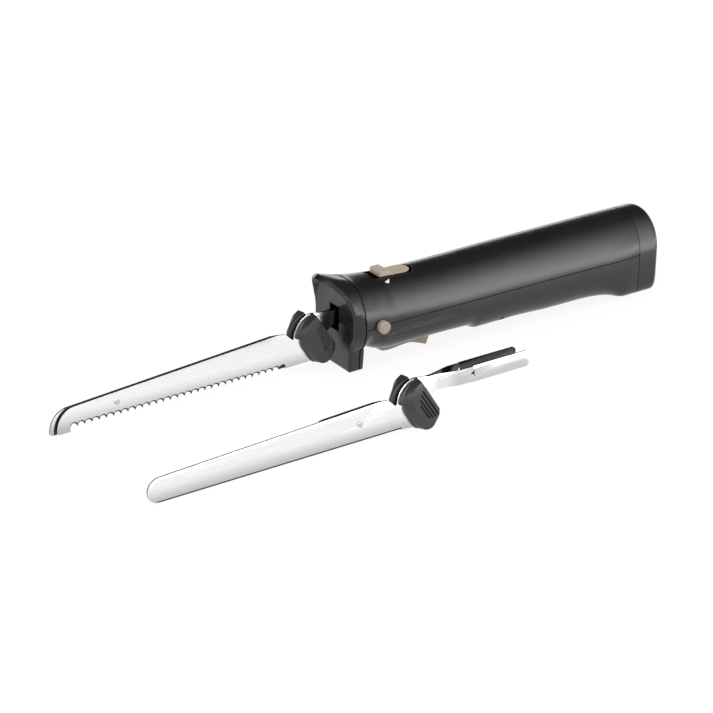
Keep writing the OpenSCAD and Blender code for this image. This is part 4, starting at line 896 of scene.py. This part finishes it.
def make_grips():
    for name, body, right, spare in (
        ("blade_grip_left", "blade_left", False, False),
        ("blade_grip_right", "blade_right", True, False),
        ("spare_grip_long", "spare_long", False, True),
        ("spare_grip_short", "spare_short", True, True),
    ):
        grip = grip_solid(name + "_moulding")
        plans = groove_plans() if spare else pit_plans()
        face, floor = -GRIP_OUT - 1, -GRIP_OUT + GROOVE_T
        bm, shade_bm = bmesh.new(), bmesh.new()
        for plan in plans:
            loft(bm, [[(x, face, z) for x, z in plan], [(x, floor, z) for x, z in plan]])
            # Sheets of painted shade in the grooves and pits
            loft(shade_bm, [[(x, floor - 0.3, z) for x, z in plan], [(x, floor + 0.2, z) for x, z in plan]])
        cut(grip, make_object("cutter", bm))
        pit_shade_sheets = make_object(name + "_pit_shade", shade_bm)
        for piece in (grip, pit_shade_sheets):
            if right:
                to_right(piece)
            if spare:
                piece.data.transform(Matrix.Translation(SPARE_AT * MM))
        dress(grip, body, "grip_plastic", name)
        dress(pit_shade_sheets, body, "grip_plastic")
        pit_shade_sheets.data.materials[0] = PAINTED_SHADE


# Blades

BLADE_LEN = 208.9
BLADE_OUT = 1.18
PITCH = 5.16
SCALLOP_R = 2.45
FIRST_SCALLOP = 12
SCALLOPS = 31
# Reach of the long and of the short spare blade, and height of their cutting edge
SPARE_REACH = {"spare_blade_long": 212.4, "spare_blade_short": 92}
SPARE_EDGE_Z = 9.3
# Width of the ground strip along the scallops and along a plain edge
GROUND_W = 1.15
PLAIN_GROUND_W = 1.5


def ground_teeth():
    """Solid that grinds the scallops of a left blade from its outer face."""
    start = -BLADE_LEN + FIRST_SCALLOP
    columns = [(start + k * PITCH, PITCH * (j / 12 - 0.5)) for k in range(SCALLOPS) for j in range(12)]
    rings = []
    for depth, grown in ((-0.5, GROUND_W), (0, GROUND_W), (0.7, -0.03)):
        y, r = -BLADE_OUT + depth, SCALLOP_R + grown
        top = [(x + d, y, EDGE_Z + math.sqrt(max(r * r - d * d, 0))) for x, d in columns]
        rings.append(top + [(x + d, y, EDGE_Z - 3) for x, d in reversed(columns)])
    bm = bmesh.new()
    loft(bm, rings)
    return make_object("cutter", bm)


def ground_edge(x0, x1, low):
    """Solid that grinds a plain cutting edge along the bottom of a left blade."""
    high = low + PLAIN_GROUND_W
    outline = [(-0.5, low - 1), (-0.5, high), (0, high), (0.8, low), (0.8, low - 1)]
    return prism("cutter", [(-BLADE_OUT + depth, z) for depth, z in outline], x0, x1, "x")


def make_blades():
    """The blades' steel with its ground edges."""
    for name, body, right in (
        ("serrated_blade_left", "blade_left", False), ("serrated_blade_right", "blade_right", True),
        ("spare_blade_long", "spare_long", False), ("spare_blade_short", "spare_short", True),
    ):
        steel = bpy.data.objects.new(name + "_steel", nodes[name].data.copy())
        bpy.context.scene.collection.objects.link(steel)
        steel.modifiers.new("weld", "WELD").merge_threshold = 0.0005 * MM
        spare = name in SPARE_REACH
        cutter = ground_edge(6 - SPARE_REACH[name], -29.3, SPARE_EDGE_Z) if spare else ground_teeth()
        if right:
            to_right(cutter)
        if spare:
            cutter.data.transform(Matrix.Translation(SPARE_AT * MM))
        cut(steel, cutter)
        add_bevel(steel, 0.06, 2, 40)
        apply_modifiers(steel)
        dress(steel, body, "blade_steel", name)
        if right:
            steel.data.materials[0] = STEEL_RIGHT
        elif spare:
            steel.data.materials[0] = STEEL_SPARE


# Controls

# Buttons, by distance from the middle of the handle: end of the stem, the collar's two sides and the face
STEM_R = 1.5
STEM_END = 8.0
COLLAR_R = 5.8
COLLAR_IN = 20.3
COLLAR_OUT = 21.88
BUTTON_FACE = HALF_W * 1.011 + 3.8
BUTTON_ROUND = 0.7


def make_buttons():
    """Release buttons with a rounded rim and a fine ring in the face."""
    face, turn = BUTTON_FACE, BUTTON_ROUND
    profile = [(STEM_R, STEM_END), (STEM_R, COLLAR_IN), (COLLAR_R, COLLAR_IN), (COLLAR_R, COLLAR_OUT)]
    profile.append((BUTTON_R, COLLAR_OUT))
    for a in np.linspace(0, math.pi / 2, 7):
        profile.append((BUTTON_R - turn + turn * math.cos(a), face - turn + turn * math.sin(a)))
    profile += [(2.9, face), (2.75, face - 0.22), (2.45, face - 0.22), (2.3, face), (0.01, face)]
    for side, sign in (("left", 1), ("right", -1)):
        name = "release_button_" + side
        piece = lathe(name + "_moulding", profile, (BUTTON_X, 0, SEAM_Z), sign)
        dress(piece, "button_" + side, "control_plastic", name)


# Rib under the plunger, hole for the pin, and well for the spring's end with its place, radius and depth
RIB_X = (40.9, 43.1)
PIN_HOLE_R = 1.55
SPRING_X = 62
SPRING_WELL_R = 3.8
SPRING_WELL_T = 4.6


def make_trigger():
    """Trigger with a smooth hollow for the finger."""
    shape = [(TRIGGER_X + a * TRIGGER_LEN, TRIGGER_Z + b * TRIGGER_DROP) for a, b in FINGER_SHARES]
    # The last two rows are its straight rear edge
    outline = [tuple(p) for p in curve_through(shape[:-2], 6)] + shape[-2:] + [(TRIGGER_X, TRIGGER_Z)]
    lever = prism("trigger_moulding", outline, -TRIGGER_HALF_W, TRIGGER_HALF_W, "y")
    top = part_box("trigger")[1].z / MM
    x0, x1 = RIB_X
    rib = prism("union", [(x0, TRIGGER_Z - 1), (x1, TRIGGER_Z - 1), (x1, top), (x0, top)], -2, 2, "y")
    hub = prism("union", circle(TRIGGER_X, TRIGGER_Z, HUB_R, 48), -TRIGGER_HALF_W, TRIGGER_HALF_W, "y")
    join_solids(lever, hub, rib)
    cut(lever, prism("cutter", circle(TRIGGER_X, TRIGGER_Z, PIN_HOLE_R, 32), -20, 20, "y"))
    add_bevel(lever, 0.8, 4, 35)
    apply_modifiers(lever)
    # Well that takes the spring's end when the lever is squeezed
    mouth = circle(SPRING_X, 0, SPRING_WELL_R, 48)
    cut(lever, prism("cutter", mouth, TRIGGER_Z - SPRING_WELL_T, TRIGGER_Z + 2, "z"))
    return dress(lever, "trigger_lever", "control_plastic", "trigger")


def soften(name, width, segments=2):
    """Rounds the edges of a CAD node where it is."""
    obj = nodes[name]
    obj.modifiers.new("weld", "WELD").merge_threshold = 0.0005 * MM
    add_bevel(obj, width, segments)


LIP_R = 0.24
LIP_SUNK = 0.14


def slot_lip():
    """Rounded lip round the slider's slot."""
    plan = slider_plan(*LIP_PLAN)
    path = []
    for i, p in enumerate(plan):
        q = plan[(i + 1) % len(plan)]
        pieces = max(1, round(math.dist(p, q) / 1.0))
        path += [along(p, q, k / pieces) for k in range(pieces)]
    path = [p for i, p in enumerate(path) if math.dist(p, path[i - 1]) > 0.05]
    rings = []
    for i, (x, y) in enumerate(path):
        before, after = Vector(path[i - 1]), Vector(path[(i + 1) % len(path)])
        ahead = (after - before).normalized()
        z = skin_z(x, y) - LIP_SUNK
        rings.append([(x + ahead.y * u, y - ahead.x * u, z + v) for u, v in circle(0, 0, LIP_R, 8)])
    bm = bmesh.new()
    closed_band(bm, rings)
    return dress(make_object("slot_lip", bm, 80), "handle", "housing")


def make_gap_shade():
    """Painted shade: dark sheets in the narrow gaps round the slider and the buttons, along the seam and
    the cap.
    """
    bm = bmesh.new()
    inner, outer = (slider_plan(*plan) for plan in SHADE_SLEEVE_PLANS)
    closed_band(bm, [
        [(x, y, SHADE_SLEEVE_Z) for x, y in inner], [(x, y, SHADE_SLEEVE_Z) for x, y in outer],
        [(x, y, skin_z(x, y) + 0.25) for x, y in outer], [(x, y, skin_z(x, y) + 0.25) for x, y in inner],
    ])
    gaps = [dress(make_object("slider_gap_shade", bm), "slider", "control_plastic")]
    bm = bmesh.new()
    half_w = section_at(BUTTON_X)[0] - 0.5
    near, far = BUTTON_R + 0.03, BUTTON_R + 0.7
    for side in (-1, 1):
        closed_band(bm, [
            [(x, side * (half_w - depth), z) for x, z in circle(BUTTON_X, SEAM_Z, r, 48)]
            for r, depth in ((near, 0), (far, 0), (far, 0.3), (near, 0.3))
        ])
        for x0, x1 in ((GUARD_DEPTH + 1, BUTTON_X - 5), (BUTTON_X + 5, CAP_X - 0.4)):
            loft(bm, [[
                (x, side * (section_at(x)[0] - depth), SEAM_Z + z)
                for depth, z in ((0.7, -0.35), (0.1, -0.35), (0.1, 0.35), (0.7, 0.35))
            ] for x in np.linspace(x0, x1, 60)])
    closed_band(bm, [
        cap_ring(CAP_X + d, inset) for d, inset in ((-0.3, 0.12), (0.3, 0.12), (0.3, 1.2), (-0.3, 1.2))
    ])
    gaps.append(dress(make_object("shell_gap_shade", bm), "handle", "housing"))
    # The sheets of painted shade take the near-black material
    for gap in gaps:
        gap.data.materials[0] = PAINTED_SHADE


# Dots on the slider: how many along and across, first place, pitches along and across, radius. The
# slider's rear end is round from DOTS_ROUND_X on, with these half-axes squared, and its top falls by a
# little from its cross line to that end.
DOTS = (9, 8)
DOTS_X = 47.4
DOT_PITCH = (1.15, 1.3)
DOT_R = 0.34
DOTS_ROUND_X = 53.0
DOTS_ROUND = (36, 30)
CROSS_X = 44.3
PAD_LEN = 15.2
PAD_FALL = 0.4


def slider_dots():
    """Fine raised dots on the slider's low part, behind its cross line."""
    bm = bmesh.new()
    for i in range(DOTS[0]):
        for j in range(DOTS[1]):
            x = DOTS_X + i * DOT_PITCH[0]
            y = (j - (DOTS[1] - 1) / 2) * DOT_PITCH[1]
            past = x - DOTS_ROUND_X
            if past > 0 and past ** 2 / DOTS_ROUND[0] + y * y / DOTS_ROUND[1] > 1.0:
                continue
            z = SEAM_Z + RISE * 1.023 - PAD_FALL * (x - CROSS_X) / PAD_LEN
            place = Matrix.Translation((x, y, z)) @ Matrix.Diagonal((1, 1, 0.5, 1))
            bmesh.ops.create_icosphere(bm, subdivisions=1, radius=DOT_R, matrix=place)
    return dress(make_object("slider_grip_dots", bm, 60), "slider", "control_plastic")


# Arrow: its tip, half its base, its length, and how far its base slants so that it looks upright.
# Then the ink's height over the skin and its thickness.
ARROW_TIP = (33.2, -11.4)
ARROW_HALF = 1.95
ARROW_LEN = 3.6
ARROW_SLANT = 0.67
INK_LIFT = 0.04
INK_T = 0.03


def make_arrow():
    """Plain printed triangle beside the slider, laid on the curved skin."""
    bm = bmesh.new()
    rows = []
    steps = 6
    for i in range(steps + 1):
        x = ARROW_TIP[0] + ARROW_LEN * i / steps
        span = ARROW_HALF * i / steps
        row = []
        for j in range(steps + 1):
            y = ARROW_TIP[1] + span * (2 * j / steps - 1)
            row.append(bm.verts.new((x + ARROW_SLANT * (y - ARROW_TIP[1]), y, skin_z(x, y) + INK_LIFT)))
        rows.append(row)
    for a, b in zip(rows, rows[1:]):
        for j in range(steps):
            bm.faces.new((a[j], a[j + 1], b[j + 1], b[j]))
    bmesh.ops.remove_doubles(bm, verts=bm.verts, dist=0.001)
    arrow = make_object("push_arrow", bm)
    arrow.modifiers.new("ink", "SOLIDIFY").thickness = INK_T * MM
    apply_modifiers(arrow)
    dress(arrow, "handle", "housing")
    arrow.data.materials[0] = INK


# Stage

# Strength of the front box along the way to the front, and of the band behind along the way up
FRONT_BOX = [
    (-0.9, 0), (-0.1, 0.08), (0.05, 0.2), (0.25, 0.55), (0.45, 1.1), (0.69, 2.3), (0.83, 4.4), (0.88, 5.4),
]
BACK_BAND = [(-0.2, 2.4), (0.1, 2.4), (0.2, 0), (1, 0)]
RAMP_TOP = 8
MATT_LIGHT = 0.85
FLOOR_HALF = 3000
PAPER = 0.86
# Share of the floor's own light that the camera sees, its strength there and in gloss, and what the
# lit parts of the floor add in gloss
GLOW_SHARE = 0.86
GLOW = 1.05
SHEEN = 1.0
LIT_SHEEN = 4.0
# Where each lit part starts and where it is at full strength, in metres: in front of the handle, to
# its right, and far in front
NEAR_EDGE = (-0.09, -0.135)
RIGHT_EDGE = (0.115, 0.16)
FAR_EDGE = (-0.19, -0.225)


def new_tree(owner):
    owner.use_nodes = True
    owner.node_tree.nodes.clear()
    return owner.node_tree


def mix_shaders(tree, share, off, on):
    made = tree.nodes.new("ShaderNodeMixShader")
    for socket, value in zip(made.inputs, (share, off, on)):
        tree.links.new(value, socket)
    return made.outputs[0]


def make_floor():
    """White paper. For gloss it is brighter in front of the handle's rear part and far in front."""
    bm = bmesh.new()
    corners = ((-1, -1), (1, -1), (1, 1), (-1, 1))
    bm.faces.new([bm.verts.new((x * FLOOR_HALF, y * FLOOR_HALF, 0)) for x, y in corners])
    floor = make_object("floor", bm)
    mat = bpy.data.materials.new("floor_paper")
    tree = new_tree(mat)
    path = tree.nodes.new("ShaderNodeLightPath").outputs
    spot = tree.nodes.new("ShaderNodeNewGeometry").outputs["Position"]
    x, y = (part(tree, spot, axis) for axis in "XY")
    near = calc(tree, "MULTIPLY", step_between(tree, y, *NEAR_EDGE), step_between(tree, x, *RIGHT_EDGE))
    lit = calc(tree, "MAXIMUM", near, step_between(tree, y, *FAR_EDGE))
    sheen = calc(tree, "MULTIPLY_ADD", lit, LIT_SHEEN, SHEEN)
    paper = add_node(tree, "ShaderNodeBsdfDiffuse", Color=(PAPER, PAPER, PAPER, 1))
    glow = add_node(tree, "ShaderNodeEmission", Color=(1, 1, 1, 1))
    feed(tree, glow.inputs["Strength"], blend(tree, path["Is Glossy Ray"], GLOW, sheen, "FLOAT"))
    unseen = blend(tree, path["Is Glossy Ray"], 0.0, 1.0, "FLOAT")
    share = blend(tree, path["Is Camera Ray"], unseen, GLOW_SHARE, "FLOAT")
    out = tree.nodes.new("ShaderNodeOutputMaterial")
    tree.links.new(mix_shaders(tree, share, paper.outputs[0], glow.outputs[0]), out.inputs["Surface"])
    floor.data.materials.append(mat)


def world_ramp(tree, value, stops, top):
    """Strength of the studio along one direction of sight, which runs from -1 to 1."""
    share = calc(tree, "MULTIPLY_ADD", value, 0.5, 0.5)
    shades = [((at + 1) / 2, grey(strength / top)) for at, strength in stops]
    return calc(tree, "MULTIPLY", ramp(tree, share, shades), top)


def make_world():
    """White paper for the camera, even light for matt surfaces, and for gloss a large box in front that
    fades over the top, with a low bright band behind."""
    world = bpy.data.worlds.new("studio")
    bpy.context.scene.world = world
    tree = new_tree(world)
    sight = tree.nodes.new("ShaderNodeTexCoord").outputs["Generated"]
    y, z = (part(tree, sight, axis) for axis in "YZ")
    box = world_ramp(tree, calc(tree, "MULTIPLY", y, -1), FRONT_BOX, RAMP_TOP)
    behind = world_ramp(tree, y, [(0, 0), (0.3, 1)], 1)
    band = calc(tree, "MULTIPLY", world_ramp(tree, z, BACK_BAND, RAMP_TOP), behind)
    skies = []
    for strength in (1.0, calc(tree, "ADD", box, band), MATT_LIGHT):
        sky = add_node(tree, "ShaderNodeBackground", Color=(1, 1, 1, 1))
        feed(tree, sky.inputs["Strength"], strength)
        skies.append(sky.outputs[0])
    paper, studio, matt = skies
    path = tree.nodes.new("ShaderNodeLightPath").outputs
    felt = mix_shaders(tree, path["Is Glossy Ray"], matt, studio)
    seen = mix_shaders(tree, path["Is Camera Ray"], felt, paper)
    out = tree.nodes.new("ShaderNodeOutputWorld")
    tree.links.new(seen, out.inputs["Surface"])


# Soft lamp: where it stands and what it aims at, in metres, its side and its power
LAMP_AT = (-0.3, -0.5, 1.3)
LAMP_AIM = (0.1, -0.02, 0.04)
LAMP_SIZE = 0.9
LAMP_POWER = 5.0


def make_lights():
    """One soft lamp from above on the left shapes the matt surfaces only."""
    lamp = bpy.data.lights.new("top_box", "AREA")
    lamp.shape = "RECTANGLE"
    lamp.size = lamp.size_y = LAMP_SIZE
    lamp.energy = LAMP_POWER
    obj = bpy.data.objects.new("top_box", lamp)
    bpy.context.scene.collection.objects.link(obj)
    obj.location = LAMP_AT
    aim = Vector(LAMP_AIM) - obj.location
    obj.rotation_euler = aim.to_track_quat("-Z", "Y").to_euler()
    obj.visible_glossy = False


# Camera fitted to the photo: where it stands, in millimetres, and where it looks
CAMERA_AT = (-720.3, -1101.3, 613.9)
CAMERA_AHEAD = (0.50547, 0.754, -0.41948)
LENS = 108.07


def make_camera():
    data = bpy.data.cameras.new("camera")
    data.sensor_width = 36
    data.lens = LENS
    data.clip_end = 20
    camera = bpy.data.objects.new("camera", data)
    bpy.context.scene.collection.objects.link(camera)
    ahead = Vector(CAMERA_AHEAD).normalized()
    side = ahead.cross(Vector((0, 0, 1))).normalized()
    up = side.cross(ahead)
    turn = Matrix((side, up, -ahead)).transposed().to_4x4()
    camera.matrix_world = Matrix.Translation(Vector(CAMERA_AT) * MM) @ turn
    bpy.context.scene.camera = camera


SLOT_OF = {row["node"]: row["material_slot"] for row in frame["record"]["subparts"]}

for name, obj in nodes.items():
    obj.data.materials.clear()
    obj.data.materials.append(MATERIALS[SLOT_OF[name]])
    shade(obj, 30)

make_camera()
make_world()
make_lights()
make_floor()
make_top_shell()
make_bottom_shell()
make_rear_cap()
make_guard()
make_grips()
make_blades()
make_buttons()
make_arrow()
slider_dots()
slot_lip()
make_gap_shade()
soften("safety_slider", 0.6, 4)
make_trigger()
for name in (
    "slider_lock_bar", "drive_frame", "frame_cover", "carrier_left", "carrier_right", "micro_switch",
    "battery_holder", "control_board",
):
    soften(name, 0.15, 2)

bpy.context.scene.view_settings.view_transform = "Standard"
